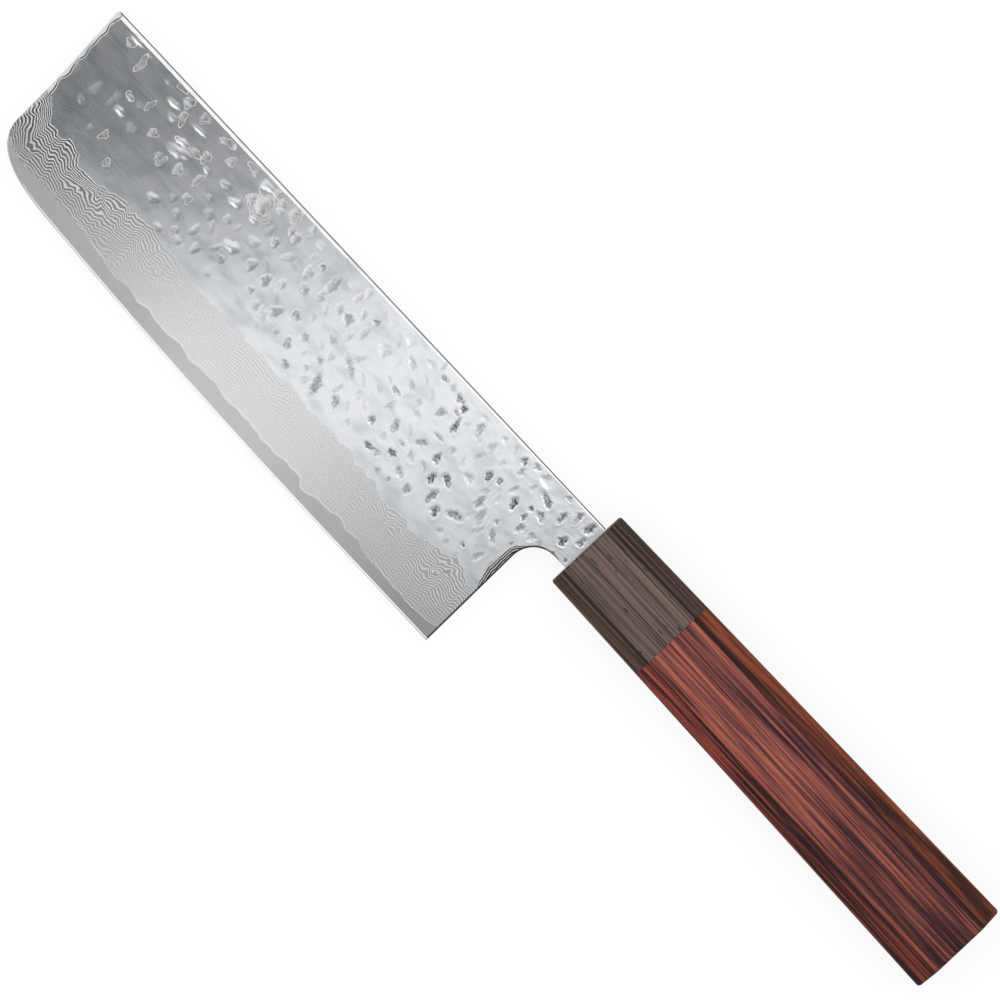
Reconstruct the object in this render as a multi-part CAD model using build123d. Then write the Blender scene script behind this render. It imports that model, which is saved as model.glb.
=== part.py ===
"""Nakiri knife with a laminated, hammered blade and an eight-sided wooden handle.

The knife lies on its right side. +X runs from the tip to the butt, +Y from the cutting edge to the
spine, and +Z up out of the left face of the blade. Lengths are in millimetres, angles in degrees.

While it is made, the tip is at x = 0, the lowest point of the cutting edge at y = 0, and the middle
of the steel core at z = 0. At the end it is moved so that its footprint is centred on the origin.
"""
from build123d import *
import math
import os

# Blade outline
blade_length = 165.0
blade_height = 51.0
neck_length = 10.5
neck_height = 13.8
choil_radius = 7.2
heel_lean = 0.6
tip_corner_radius = 1.0
front_foot_setback = 2.5
front_foot_height = 15.3
front_hollow = 0.35
toe_length = 22.5
toe_rise = 2.8
toe_pull_along = 15.0
toe_pull_up = 8.3
belly_length = 100.0

# Blade thickness: half of it, measured out from the middle of the core
spine_half_thickness = 1.0
shoulder_half_thickness = 0.8
shoulder_height = 20.0
edge_half_thickness = 0.17
distal_taper = 0.1

# Bevels on the outline of the blade
edge_bevel_width = 0.5
edge_bevel_depth = 0.12
spine_band_at_tip = 1.2
spine_band_at_neck = 0.5
spine_band_depth = 0.45
front_band_width = 2.0
front_band_depth = 0.15
front_band_foot_height = 24.0
choil_band_width = 2.1
choil_band_depth = 0.15
choil_band_foot_height = 15.0

# Core of the laminated blank: its faces wave a little, so the weld line on the grind waves with them
core_half_thickness = 0.31
core_half_wave_length = 9.0
core_wave_height = 0.035
core_calm_share = 0.7
core_calm_turn = math.radians(37)

# Hammer marks: dishes as wide as mark_width, and as long as a share of mark_length
mark_length = 5.6
mark_width = 2.7
mark_depth = 0.12
mark_sides = 8
mark_floor_share = 0.5

# Hidden tang
tang_length = 85.0
tang_height = 9.0
tang_end_height = 5.5
tang_shoulder_inset = 5.0
tang_shoulder_length = 2.5
tang_end_radius = 2.0
tang_end_half_thickness = 0.8

# Handle: an octagon that grows from the ferrule's mouth to the butt
ferrule_length = 30.7
body_length = 104.2
mouth_height = 23.2
mouth_thickness = 19.0
mouth_corner_cut = 4.15
butt_height = 27.1
butt_thickness = 21.5
butt_corner_cut = 5.6
butt_drop = 0.5
butt_dome_rise = 0.65
butt_edge_radius = 1.0
arris_flat = 0.35
mouth_edge_break = 0.4

# Inside the handle
neck_clearance = 0.25
ferrule_web = 8.0
seal_depth = 1.2
dowel_diameter = 12.5
dowel_length = 50.0
tang_slot_height = 9.8
tang_slot_thickness = 3.0
pilot_bore_diameter = 8.2
pilot_bore_past_tang = 2.0

# Cuts run this far past what they cut
overrun = 5.0

# Places that follow from the sizes above
ferrule_x = blade_length + neck_length
joint_x = ferrule_x + ferrule_length
butt_x = joint_x + body_length
handle_y = blade_height - neck_height / 2
neck_bottom_y = blade_height - neck_height
heel_back_x = blade_length - heel_lean
tang_x = ferrule_x + tang_shoulder_inset + tang_shoulder_length
tang_end_x = ferrule_x + tang_length
dowel_x = ferrule_x + ferrule_web
dowel_end_x = dowel_x + dowel_length
pilot_end_x = tang_end_x + pilot_bore_past_tang
plate_half_thickness = 2 * spine_half_thickness

# Centres of the hammer marks on the left face, read from tip to neck: the place along the blade as a
# share of the way to the ferrule, the place up the blade as a share of its height, the mark's length
# as a share of mark_length, and the turn of the mark in degrees.
left_mark_shares = [
    (0.051, 0.960, 1.0, 0), (0.079, 0.900, 0.9, 90), (0.126, 0.790, 0.6, 90), (0.149, 0.884, 1.0, 5),
    (0.163, 0.836, 0.6, 0), (0.196, 0.787, 0.9, 5), (0.194, 0.647, 0.6, 0), (0.203, 0.735, 1.4, 0),
    (0.202, 0.885, 1.0, 0), (0.225, 0.498, 0.7, 10), (0.234, 0.826, 0.6, 90), (0.244, 0.949, 0.7, 20),
    (0.250, 0.720, 0.8, 90), (0.262, 0.778, 0.6, 0), (0.317, 0.483, 0.6, 90), (0.320, 0.830, 0.6, 90),
    (0.328, 0.945, 0.8, 0), (0.337, 0.870, 1.0, 45), (0.351, 0.614, 1.0, 0), (0.376, 0.940, 0.7, 90),
    (0.387, 0.623, 0.6, 90), (0.404, 0.870, 0.6, 90), (0.419, 0.623, 0.6, 90), (0.451, 0.795, 0.7, 60),
    (0.459, 0.556, 0.9, 45), (0.487, 0.850, 1.0, 90), (0.502, 0.493, 0.7, 45), (0.538, 0.787, 0.7, 60),
    (0.573, 0.445, 1.2, 70), (0.590, 0.633, 1.3, 20), (0.608, 0.469, 0.7, 60), (0.644, 0.865, 0.8, 0),
    (0.655, 0.715, 0.6, 0), (0.683, 0.440, 0.7, 0), (0.692, 0.599, 0.7, 90), (0.721, 0.807, 0.7, 60),
    (0.725, 0.913, 0.6, 0), (0.734, 0.638, 0.7, 0), (0.742, 0.459, 0.6, 0), (0.749, 0.775, 0.9, 90),
    (0.770, 0.400, 0.6, 90), (0.787, 0.894, 0.9, 90), (0.796, 0.604, 0.9, 30), (0.799, 0.505, 0.8, 90),
    (0.818, 0.440, 0.7, 90), (0.832, 0.763, 0.7, 90), (0.841, 0.525, 1.0, 0), (0.851, 0.643, 0.8, 90),
    (0.884, 0.763, 0.7, 90), (0.893, 0.945, 0.7, 0), (0.898, 0.560, 0.8, 45), (0.912, 0.870, 0.8, 0),
    (0.926, 0.800, 0.6, 0), (0.945, 0.884, 0.8, 90), (0.964, 0.930, 0.7, 90), (0.968, 0.800, 0.6, 90),
    (0.984, 0.880, 0.8, 90),
]

# The right face is hammered in the same way. Its marks are the left ones taken from a point part of
# the way along the blade, so that no hollow lies back to back with its copy.
right_mark_start_share = 0.43
right_mark_first_share = 0.04
right_mark_last_share = 0.985


def flat_half_thickness(x, y):
    """Half thickness of the hammered flat, from the spine down to the shoulder of the grind."""
    spine_to_shoulder = blade_height - shoulder_height
    fall = (spine_half_thickness - shoulder_half_thickness) * (blade_height - y) / spine_to_shoulder
    return spine_half_thickness - fall - distal_taper * (ferrule_x - x) / ferrule_x


def grind_half_thickness(x, y):
    """Half thickness of the ground lower part, from the shoulder down to the cutting edge."""
    rise = (shoulder_half_thickness - edge_half_thickness) * y / shoulder_height
    return edge_half_thickness + rise - distal_taper * (blade_length - x) / ferrule_x


def plane_through(first, second, third):
    """Plane through three points, with its normal on the side that has +Z."""
    across = (Vector(*second) - Vector(*first)).cross(Vector(*third) - Vector(*first))
    if across.Z < 0:
        across = across * -1
    return Plane(origin=first, x_dir=Vector(*second) - Vector(*first), z_dir=across)


def cut_above(solid, left_plane):
    """Take away what lies outside a plane on the left face, and the same on the right face."""
    right_plane = Plane(
        origin=(left_plane.origin.X, left_plane.origin.Y, -left_plane.origin.Z),
        x_dir=(left_plane.x_dir.X, left_plane.x_dir.Y, -left_plane.x_dir.Z),
        z_dir=(left_plane.z_dir.X, left_plane.z_dir.Y, -left_plane.z_dir.Z),
    )
    solid = split(solid, bisect_by=left_plane, keep=Keep.BOTTOM)
    return split(solid, bisect_by=right_plane, keep=Keep.BOTTOM)


def cutting_edge():
    """Cutting edge from the foot of the front, round the toe and along the belly, to the heel."""
    belly_radius = belly_length**2 / (2 * toe_rise)
    belly_start_x = front_foot_setback + toe_length
    belly_start_y = belly_radius - math.sqrt(belly_radius**2 - belly_length**2)
    belly_middle_y = belly_radius - math.sqrt(belly_radius**2 - (belly_length / 2) ** 2)
    belly_slope = belly_length / (belly_radius - belly_start_y)
    straight_x = belly_start_x + belly_length
    toe = Bezier(
        (front_foot_setback, front_foot_height),
        (front_foot_setback, front_foot_height - toe_pull_up),
        (belly_start_x - toe_pull_along, belly_start_y + belly_slope * toe_pull_along),
        (belly_start_x, belly_start_y),
    )
    belly_middle_x = belly_start_x + belly_length / 2
    belly = ThreePointArc((belly_start_x, belly_start_y), (belly_middle_x, belly_middle_y), (straight_x, 0))
    straight = Line((straight_x, 0), (blade_length, 0))
    return [toe, belly, straight]


def blade_outline():
    """Side view of the blade, neck and tang."""
    front_middle = (front_foot_setback / 2 + front_hollow, (blade_height + front_foot_height) / 2)
    front = ThreePointArc((0, blade_height), front_middle, (front_foot_setback, front_foot_height))
    choil_foot = (heel_back_x, neck_bottom_y - choil_radius)
    choil_top = (heel_back_x + choil_radius, neck_bottom_y)
    back = [
        Line((blade_length, 0), choil_foot),
        RadiusArc(choil_foot, choil_top, choil_radius),
        Polyline(
            choil_top,
            (ferrule_x + tang_shoulder_inset, neck_bottom_y),
            (tang_x, handle_y - tang_height / 2),
            (tang_end_x, handle_y - tang_end_height / 2),
            (tang_end_x, handle_y + tang_end_height / 2),
            (tang_x, handle_y + tang_height / 2),
            (ferrule_x + tang_shoulder_inset, blade_height),
            (0, blade_height),
        ),
    ]
    with BuildSketch() as outline:
        with BuildLine():
            add([front] + cutting_edge() + back)
        make_face()
        fillet(outline.vertices().group_by(Axis.X)[-1], tang_end_radius)
        tip = outline.vertices().sort_by_distance((0, blade_height))[0]
        fillet(tip, tip_corner_radius)
    return outline.sketch


def flat_plane():
    """Plane of the hammered flat on the left face."""
    places = [(0, blade_height), (ferrule_x, blade_height), (0, shoulder_height)]
    return plane_through(*[(x, y, flat_half_thickness(x, y)) for x, y in places])


def grind_plane():
    """Plane of the ground lower part on the left face."""
    places = [(0, 0), (blade_length, 0), (0, shoulder_height)]
    return plane_through(*[(x, y, grind_half_thickness(x, y)) for x, y in places])


def ground_blade():
    """Blade plate with its flats, grind and bevels, before the hammer marks."""
    plate = extrude(blade_outline(), amount=plate_half_thickness, both=True)
    for plane in (flat_plane(), grind_plane(), spine_band_plane(), front_band_plane(), tang_plane()):
        plate = cut_above(plate, plane)
    for side in (1, -1):
        plate -= choil_relief(side)
        plate -= edge_bevel_cutter(side)
    return plate


def spine_band_plane():
    """The spine is eased to a narrow band, which is widest at the tip."""
    tip_in_y = blade_height - spine_band_at_tip
    neck_in_y = blade_height - spine_band_at_neck
    tip_out_z = flat_half_thickness(0, blade_height) - spine_band_depth
    return plane_through(
        (0, tip_in_y, flat_half_thickness(0, tip_in_y)),
        (ferrule_x, neck_in_y, flat_half_thickness(ferrule_x, neck_in_y)),
        (0, blade_height, tip_out_z),
    )


def front_band_plane():
    """The front of the blade has a polished band that dies out towards the toe."""
    foot_x = front_foot_setback * (blade_height - front_band_foot_height) / (blade_height - front_foot_height)
    foot_x += front_hollow
    return plane_through(
        (front_band_width, blade_height, flat_half_thickness(front_band_width, blade_height)),
        (foot_x, front_band_foot_height, flat_half_thickness(foot_x, front_band_foot_height)),
        (0, blade_height, flat_half_thickness(0, blade_height) - front_band_depth),
    )


def tang_plane():
    """The tang is forged thinner from the mouth of the ferrule to its end."""
    return plane_through(
        (ferrule_x, blade_height, flat_half_thickness(ferrule_x, blade_height)),
        (ferrule_x, neck_bottom_y, flat_half_thickness(ferrule_x, neck_bottom_y)),
        (tang_end_x, handle_y, tang_end_half_thickness),
    )


def choil_relief(side):
    """Cutter that rounds the back of the heel and the choil by hand-file, on one side of the blade."""
    outer_radius = choil_radius + choil_band_width
    centre_x = heel_back_x + choil_radius
    centre_y = neck_bottom_y - outer_radius
    top_z = flat_half_thickness(heel_back_x, centre_y)
    cone_height = choil_band_depth + overrun
    slope = choil_band_width / choil_band_depth
    cone = Cone(
        bottom_radius=choil_radius,
        top_radius=choil_radius + slope * cone_height,
        height=cone_height,
        align=(Align.CENTER, Align.CENTER, Align.MIN),
    )
    cone = Pos(centre_x, centre_y, top_z - choil_band_depth) * cone
    lift = overrun / slope
    with BuildSketch(Plane.XZ) as wedge_profile:
        Polygon(
            (0, -choil_band_depth),
            (-choil_band_width, 0),
            (-choil_band_width - overrun, lift),
            (overrun, lift),
            (overrun, -choil_band_depth),
            align=None,
        )
    wedge_length = centre_y - choil_band_foot_height
    wedge = extrude(wedge_profile.sketch, amount=wedge_length)
    fade = math.degrees(math.atan2(choil_band_width, wedge_length))
    wedge = Pos(heel_back_x, centre_y, top_z) * Rot(0, 0, fade) * wedge
    cutter = cone + wedge
    if side < 0:
        cutter = mirror(cutter, about=Plane.XY)
    return cutter


def edge_bevel_cutter(side):
    """Cutter of the small bevel: a thin wedge led along the cutting edge, and off it at both ends."""
    toe, belly, straight = cutting_edge()
    lead_in = TangentArc(
        toe @ 0,
        (front_foot_setback - overrun, front_foot_height + overrun),
        tangent=(toe % 0) * -1,
    )
    lead_out = Line(straight @ 1, (blade_length + overrun, 0))
    path = Wire([lead_in, toe, belly, straight, lead_out])
    onward = path % 0
    outward = onward.cross(Vector(0, 0, 1))
    with BuildSketch(Plane(origin=path @ 0, x_dir=outward, z_dir=onward)) as wedge:
        Polygon(
            (-2 * edge_bevel_width, -edge_bevel_depth),
            (edge_bevel_width, 2 * edge_bevel_depth),
            (edge_bevel_width, -edge_bevel_depth),
            align=None,
        )
    cutter = grind_plane().location * sweep(wedge.sketch, path=path)
    if side < 0:
        cutter = mirror(cutter, about=Plane.XY)
    return cutter


def hammer_mark(length_share):
    """Cutter of one hammer mark: an eight-sided dish, long along X, whose floor lies at z = 0."""
    half_length = mark_length * length_share / 2
    half_width = mark_width / 2
    corners = []
    for height, spread_share in ((0, mark_floor_share), (2 * mark_depth, 2 - mark_floor_share)):
        for i in range(mark_sides):
            turn = 2 * math.pi * (i + 1 / 2) / mark_sides
            x = half_length * spread_share * math.cos(turn)
            y = half_width * spread_share * math.sin(turn)
            corners.append((x, y, height))
    return ConvexPolyhedron(corners)


def hammer_marks(mark_shares, side):
    """All the marks of one face, as cutters set on the flat to the depth of a mark."""
    marks = []
    for along_share, up_share, length_share, turn in mark_shares:
        x = ferrule_x * along_share
        y = blade_height * up_share
        z = flat_half_thickness(x, y) - mark_depth
        mark = Pos(x, y, z) * Rot(0, 0, turn) * hammer_mark(length_share)
        if side < 0:
            mark = mirror(mark, about=Plane.XY)
        marks.append(mark)
    return marks


def right_mark_shares():
    """The left marks, taken from a later start and kept clear of the front edge and the ferrule."""
    shares = []
    for along_share, up_share, length_share, turn in left_mark_shares:
        moved_share = (along_share + right_mark_start_share) % 1
        if right_mark_first_share < moved_share < right_mark_last_share:
            shares.append((moved_share, up_share, length_share, turn))
    return shares


def weld_wave(start_x, end_x, height, side):
    """One weld surface in section: a chain of shallow arcs, one for each half wave."""
    count = math.ceil((end_x - start_x) / core_half_wave_length)
    step = (end_x - start_x) / count
    arcs = []
    for i in range(count):
        swell = core_wave_height * (1 - core_calm_share * math.sin(i * core_calm_turn) ** 2)
        left_x = start_x + i * step
        middle = (left_x + step / 2, side * (height + swell * (-1) ** i))
        arcs.append(ThreePointArc((left_x, side * height), middle, (left_x + step, side * height)))
    return arcs


def core_slab():
    """Slab between the two weld surfaces, whose wave shows as the wavy weld line on the grind."""
    start_x = -overrun
    end_x = tang_end_x + overrun
    corner = core_half_thickness
    with BuildSketch(Plane.XZ) as section:
        with BuildLine():
            add(weld_wave(start_x, end_x, corner, 1))
            Line((end_x, corner), (end_x, -corner))
            add(weld_wave(start_x, end_x, corner, -1))
            Line((start_x, -corner), (start_x, corner))
        make_face()
    slab = extrude(section.sketch, amount=blade_height + 2 * overrun)
    return Pos(0, blade_height + overrun, 0) * slab


def handle_section(x, inset):
    """Corners of the handle's section at x: an octagon with eased corners, drawn in by an inset."""
    share = (x - ferrule_x) / (butt_x - ferrule_x)
    high = (mouth_height + (butt_height - mouth_height) * share) / 2 - inset
    wide = (mouth_thickness + (butt_thickness - mouth_thickness) * share) / 2 - inset
    cut = mouth_corner_cut + (butt_corner_cut - mouth_corner_cut) * share - inset * (2 - math.sqrt(2))
    middle_y = handle_y - butt_drop * share
    slant = arris_flat / math.sqrt(2)
    quarter = [
        (high, wide - cut - arris_flat),
        (high - slant, wide - cut + slant),
        (high - cut + slant, wide - slant),
        (high - cut - arris_flat, wide),
    ]
    return [(x, middle_y + up * dy, out * dz) for up in (1, -1) for out in (1, -1) for dy, dz in quarter]


def handle_blank():
    """Whole outside of the handle, ferrule and body in one: flat facets, eased rims and a domed butt."""
    rounding_drop = butt_edge_radius * (1 - math.sqrt(1 / 2))
    rim_x = butt_x - rim_dome_drop() - butt_edge_radius
    corners = handle_section(ferrule_x, mouth_edge_break)
    corners += handle_section(ferrule_x + mouth_edge_break, 0)
    corners += handle_section(rim_x, 0)
    corners += handle_section(rim_x + butt_edge_radius - rounding_drop, rounding_drop)
    corners += handle_section(butt_x, butt_edge_radius)
    dome = Pos(butt_x - dome_radius(), handle_y - butt_drop, 0) * Sphere(dome_radius())
    return ConvexPolyhedron(corners) & dome


def dome_radius():
    """Radius of the shallow dome on the butt, from its rise over half the butt's height."""
    return (butt_height / 2) ** 2 / (2 * butt_dome_rise)


def rim_dome_drop():
    """How far the dome has fallen back at the sides of the butt, where its rim is nearest."""
    return (butt_thickness / 2) ** 2 / (2 * dome_radius())


def round_bar(start_x, end_x, diameter):
    """Round bar or bore on the axis of the handle."""
    bar = Cylinder(radius=diameter / 2, height=end_x - start_x, rotation=(0, 90, 0))
    return Pos((start_x + end_x) / 2, handle_y, 0) * bar


def flat_slot(start_x, end_x, height, thickness):
    """Flat slot on the axis of the handle."""
    slot = Box(end_x - start_x, height, thickness)
    return Pos((start_x + end_x) / 2, handle_y, 0) * slot


blade = ground_blade()
left_cutters = hammer_marks(left_mark_shares, 1)
right_cutters = hammer_marks(right_mark_shares(), -1)
blade -= left_cutters + right_cutters
print("hammer marks", len(left_cutters), "left,", len(right_cutters), "right")

slab = core_slab()
core_steel = blade & slab
claddings = (blade - slab).solids().sort_by(Axis.Z)
print("claddings", len(claddings))
right_cladding = claddings[0]
left_cladding = claddings[-1]

blank = handle_blank()
mouth_slot_height = neck_height + 2 * neck_clearance
mouth_slot_thickness = 2 * (spine_half_thickness + neck_clearance)
joint_plane = Plane(origin=(joint_x, handle_y, 0), z_dir=(1, 0, 0))
ferrule_outside = split(blank, bisect_by=joint_plane, keep=Keep.BOTTOM)
body_outside = split(blank, bisect_by=joint_plane, keep=Keep.TOP)

mouth_slot = flat_slot(ferrule_x, dowel_x, mouth_slot_height, mouth_slot_thickness)
dowel_slot = flat_slot(dowel_x, dowel_end_x, tang_slot_height, tang_slot_thickness)
pilot_bore = round_bar(dowel_end_x, pilot_end_x, pilot_bore_diameter)
seal_space = flat_slot(ferrule_x, ferrule_x + seal_depth, mouth_slot_height, mouth_slot_thickness)
dowel_bar = round_bar(dowel_x, dowel_end_x, dowel_diameter)

ferrule = ferrule_outside - mouth_slot - dowel_bar
handle_body = body_outside - dowel_bar - pilot_bore
joining_dowel = dowel_bar - dowel_slot
tang_bedding = (mouth_slot + dowel_slot + pilot_bore) - seal_space - blade
mouth_seal = seal_space - blade

nodes = {
    "core_steel": core_steel,
    "left_cladding": left_cladding,
    "right_cladding": right_cladding,
    "ferrule": ferrule,
    "handle_body": handle_body,
    "joining_dowel": joining_dowel,
    "tang_bedding": tang_bedding,
    "mouth_seal": mouth_seal,
}

# The footprint is centred on the origin, and the lowest point stands on z = 0
boxes = [piece.bounding_box() for piece in nodes.values()]
lowest = [min(tuple(box.min)[axis] for box in boxes) for axis in range(3)]
highest = [max(tuple(box.max)[axis] for box in boxes) for axis in range(3)]
own_frame = Pos(-(lowest[0] + highest[0]) / 2, -(lowest[1] + highest[1]) / 2, -lowest[2])
print("lowest corner", lowest, "highest corner", highest)

os.makedirs("parts", exist_ok=True)
for name, piece in nodes.items():
    placed = own_frame * piece
    print(name, type(piece).__name__, len(piece.solids()), "solid,", round(piece.volume, 1), "mm3")
    export_step(placed, f"parts/{name}.step")
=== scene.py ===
# %% [markdown]
# # A laminated vegetable knife, dressed piece by piece
#
# The knife lies on its right side on a pale floor and is looked at from straight above. Its pieces come
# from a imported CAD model. This script gives them what the CAD model leaves out: the hammered skin of the
# blade, the fine layers that the grinding lays open, and the grain of two woods.
#
# Lengths are written in millimetres, measured from the point where the front of the blade meets the line
# of its edge: x runs to the butt, y up to the spine, z out of the left face from the middle of the steel.

import math

import bmesh
import bpy
import numpy as np
from mathutils import Matrix, Vector, noise


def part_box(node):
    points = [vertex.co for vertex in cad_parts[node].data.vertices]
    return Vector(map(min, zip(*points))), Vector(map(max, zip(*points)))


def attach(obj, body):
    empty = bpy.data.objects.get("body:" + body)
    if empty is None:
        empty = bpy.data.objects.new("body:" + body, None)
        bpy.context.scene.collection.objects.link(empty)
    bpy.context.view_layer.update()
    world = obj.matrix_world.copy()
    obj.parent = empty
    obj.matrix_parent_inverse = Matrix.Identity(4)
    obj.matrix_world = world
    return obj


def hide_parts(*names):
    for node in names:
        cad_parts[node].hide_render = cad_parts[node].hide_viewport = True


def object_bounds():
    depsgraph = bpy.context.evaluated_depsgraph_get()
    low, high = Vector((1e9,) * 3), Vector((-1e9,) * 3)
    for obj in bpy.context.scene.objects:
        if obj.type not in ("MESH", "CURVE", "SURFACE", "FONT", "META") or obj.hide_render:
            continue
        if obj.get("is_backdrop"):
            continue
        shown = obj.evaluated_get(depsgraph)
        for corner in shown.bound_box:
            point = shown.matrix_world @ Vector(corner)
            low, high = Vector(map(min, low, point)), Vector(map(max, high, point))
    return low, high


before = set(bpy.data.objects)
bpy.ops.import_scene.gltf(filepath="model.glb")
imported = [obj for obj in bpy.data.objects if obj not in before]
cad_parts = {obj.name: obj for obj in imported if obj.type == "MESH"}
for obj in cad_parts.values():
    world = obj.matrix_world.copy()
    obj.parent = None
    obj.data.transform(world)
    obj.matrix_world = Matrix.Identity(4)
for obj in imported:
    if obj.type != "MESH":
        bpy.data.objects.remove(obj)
cad_box = [list(corner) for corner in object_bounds()]

# %% [markdown]
# ## Where the knife's own millimetres lie in the frame
#
# The hard core reaches from the cutting edge to the end of the hidden tang, so its box fixes the knife's
# own axes. Every new piece is modelled in millimetres and then carried over by one matrix. Baking the
# matrix into the mesh keeps each object at the origin, where patterns on Object coordinates stay put.

# %% The knife's axes
mm = 0.001
tang_end_x = 260.5
core_low, core_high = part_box("core_steel")
zero_point = Vector((core_high.x - tang_end_x * mm, core_low.y, (core_low.z + core_high.z) / 2))
to_frame = Matrix.Translation(zero_point) @ Matrix.Scale(mm, 4)
print("zero point of the knife's millimetres", [round(v, 6) for v in zero_point])

# %% [markdown]
# ## Camera
#
# The knife is shown from straight above, turned so that it runs from the upper left to the lower right.
# A long lens from two metres off keeps the outline nearly free of perspective, as in a catalogue picture.

# %% Camera
camera_distance = 2.0
picture_width = 0.2463
sensor_width = 36.0
picture_centre = Vector((-0.00303, 0.00831, zero_point.z))
picture_right = Vector((0.684, 0.7295, 0)).normalized()
picture_up = Vector((0, 0, 1)).cross(picture_right)

lens = bpy.data.cameras.new("camera")
lens.sensor_width = sensor_width
lens.lens = sensor_width * camera_distance / picture_width
camera = bpy.data.objects.new("camera", lens)
turned = Matrix((picture_right, picture_up, (0, 0, 1))).transposed().to_4x4()
camera.matrix_world = Matrix.Translation(picture_centre + Vector((0, 0, camera_distance))) @ turned
bpy.context.scene.collection.objects.link(camera)
bpy.context.scene.camera = camera
bpy.context.scene.view_settings.view_transform = "Standard"
print("lens", round(lens.lens, 1), "mm at", camera_distance, "m")

# %% [markdown]
# ## Small helpers for materials
#
# A material is a tree of nodes. These helpers add one node each and return the socket that carries its
# result, so that a finish below reads as a list of steps: place the pattern, make the noise, colour it.

# %% Helpers for sums and mixes
def new_finish(name):
    """A new material with its Principled shader."""
    made = bpy.data.materials.new(name)
    made.use_nodes = True
    return made, made.node_tree, made.node_tree.nodes["Principled BSDF"]


def put(tree, socket, value):
    """Give a socket a constant, or a link from another node."""
    if isinstance(value, bpy.types.NodeSocket):
        tree.links.new(value, socket)
    else:
        socket.default_value = value


def math_node(tree, operation, *values):
    """One Math node."""
    made = tree.nodes.new("ShaderNodeMath")
    made.operation = operation
    for socket, value in zip(made.inputs, values):
        put(tree, socket, value)
    return made.outputs[0]


def times(tree, first, second):
    """The product of two values."""
    return math_node(tree, "MULTIPLY", first, second)


def plus(tree, first, second):
    """The sum of two values."""
    return math_node(tree, "ADD", first, second)


def less(tree, first, second):
    """The first value less the second."""
    return math_node(tree, "SUBTRACT", first, second)


def share_between(tree, value, low, high):
    """0 below low, 1 above high, with a soft change between."""
    made = tree.nodes.new("ShaderNodeMapRange")
    made.interpolation_type = "SMOOTHSTEP"
    put(tree, made.inputs["Value"], value)
    put(tree, made.inputs["From Min"], low)
    put(tree, made.inputs["From Max"], high)
    return made.outputs["Result"]


def mix_colours(tree, share, first, second):
    """Mix of two colours."""
    made = tree.nodes.new("ShaderNodeMix")
    made.data_type = "RGBA"
    put(tree, made.inputs["Factor"], share)
    put(tree, made.inputs[6], first)
    put(tree, made.inputs[7], second)
    return made.outputs[2]


def mix_values(tree, share, first, second):
    """Mix of two numbers."""
    made = tree.nodes.new("ShaderNodeMix")
    put(tree, made.inputs["Factor"], share)
    put(tree, made.inputs[2], first)
    put(tree, made.inputs[3], second)
    return made.outputs[0]


print("sums and mixes ready")

# %% [markdown]
# Every pattern lies in the object's own coordinates, so it goes through the piece like real grain and needs
# no unwrapping. Values that belong to one spot, such as the depth of the grind, are read from the mesh.

# %% Helpers for patterns
def placed_pattern(tree, scale, turn=(0, 0, 0)):
    """Object coordinates, turned and scaled: the scale is how many times the pattern runs in a metre."""
    coordinates = tree.nodes.new("ShaderNodeTexCoord")
    turned_to = tree.nodes.new("ShaderNodeMapping")
    turned_to.inputs["Rotation"].default_value = turn
    stretched = tree.nodes.new("ShaderNodeMapping")
    stretched.inputs["Scale"].default_value = scale
    tree.links.new(coordinates.outputs["Object"], turned_to.inputs["Vector"])
    tree.links.new(turned_to.outputs["Vector"], stretched.inputs["Vector"])
    return stretched.outputs["Vector"]


def noise_value(tree, scale, turn=(0, 0, 0), detail=2.0, roughness=0.5, distortion=0.0):
    """Noise between 0 and 1 on the object, turned and scaled as a placed pattern."""
    vector = placed_pattern(tree, scale, turn)
    made = tree.nodes.new("ShaderNodeTexNoise")
    put(tree, made.inputs["Vector"], vector)
    made.inputs["Scale"].default_value = 1.0
    made.inputs["Detail"].default_value = detail
    made.inputs["Roughness"].default_value = roughness
    made.inputs["Distortion"].default_value = distortion
    return made.outputs["Fac"]


def colour_ramp(tree, share, stops):
    """Colour by a share, from a list of (place, colour)."""
    made = tree.nodes.new("ShaderNodeValToRGB")
    while len(made.color_ramp.elements) < len(stops):
        made.color_ramp.elements.new(0.5)
    for element, (place, colour) in zip(made.color_ramp.elements, stops):
        element.position = place
        element.color = (*colour, 1)
    put(tree, made.inputs["Fac"], share)
    return made.outputs["Color"]


def relief(tree, height, depth, strength=1.0):
    """Bump from a height between 0 and 1, with its depth in metres."""
    made = tree.nodes.new("ShaderNodeBump")
    made.inputs["Strength"].default_value = strength
    made.inputs["Distance"].default_value = depth
    put(tree, made.inputs["Height"], height)
    return made.outputs["Normal"]


def surface_value(tree, name):
    """A value that the mesh carries at each of its points."""
    made = tree.nodes.new("ShaderNodeAttribute")
    made.attribute_name = name
    return made.outputs["Fac"]


print("patterns ready")

# %% [markdown]
# A few more helpers put the others together: a soft window, a swing about nothing, and places on the knife.

# %% Helpers for places
def window(tree, value, low, high, soft):
    """1 between two places, 0 outside, with soft borders."""
    rise = share_between(tree, value, low - soft, low + soft)
    return less(tree, rise, share_between(tree, value, high - soft, high + soft))


def centred(tree, value, strength):
    """A noise value made to swing about nothing, with its strength."""
    return times(tree, less(tree, value, 0.5), strength)


def object_place(tree, turn=(0, 0, 0)):
    """The separate X, Y and Z of a point in metres, on axes that may be turned."""
    place = tree.nodes.new("ShaderNodeSeparateXYZ")
    tree.links.new(placed_pattern(tree, (1, 1, 1), turn), place.inputs["Vector"])
    return place.outputs


def along_knife(tree, x, start, end):
    """0 up to one place along the knife and 1 from the other on, each given by its millimetres."""
    return share_between(tree, x, zero_point.x + start * mm, zero_point.x + end * mm)


def swinging(tree, value, period):
    """A value that swings between -1 and 1, once in each period."""
    return math_node(tree, "SINE", times(tree, value, 2 * math.pi / period))


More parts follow.
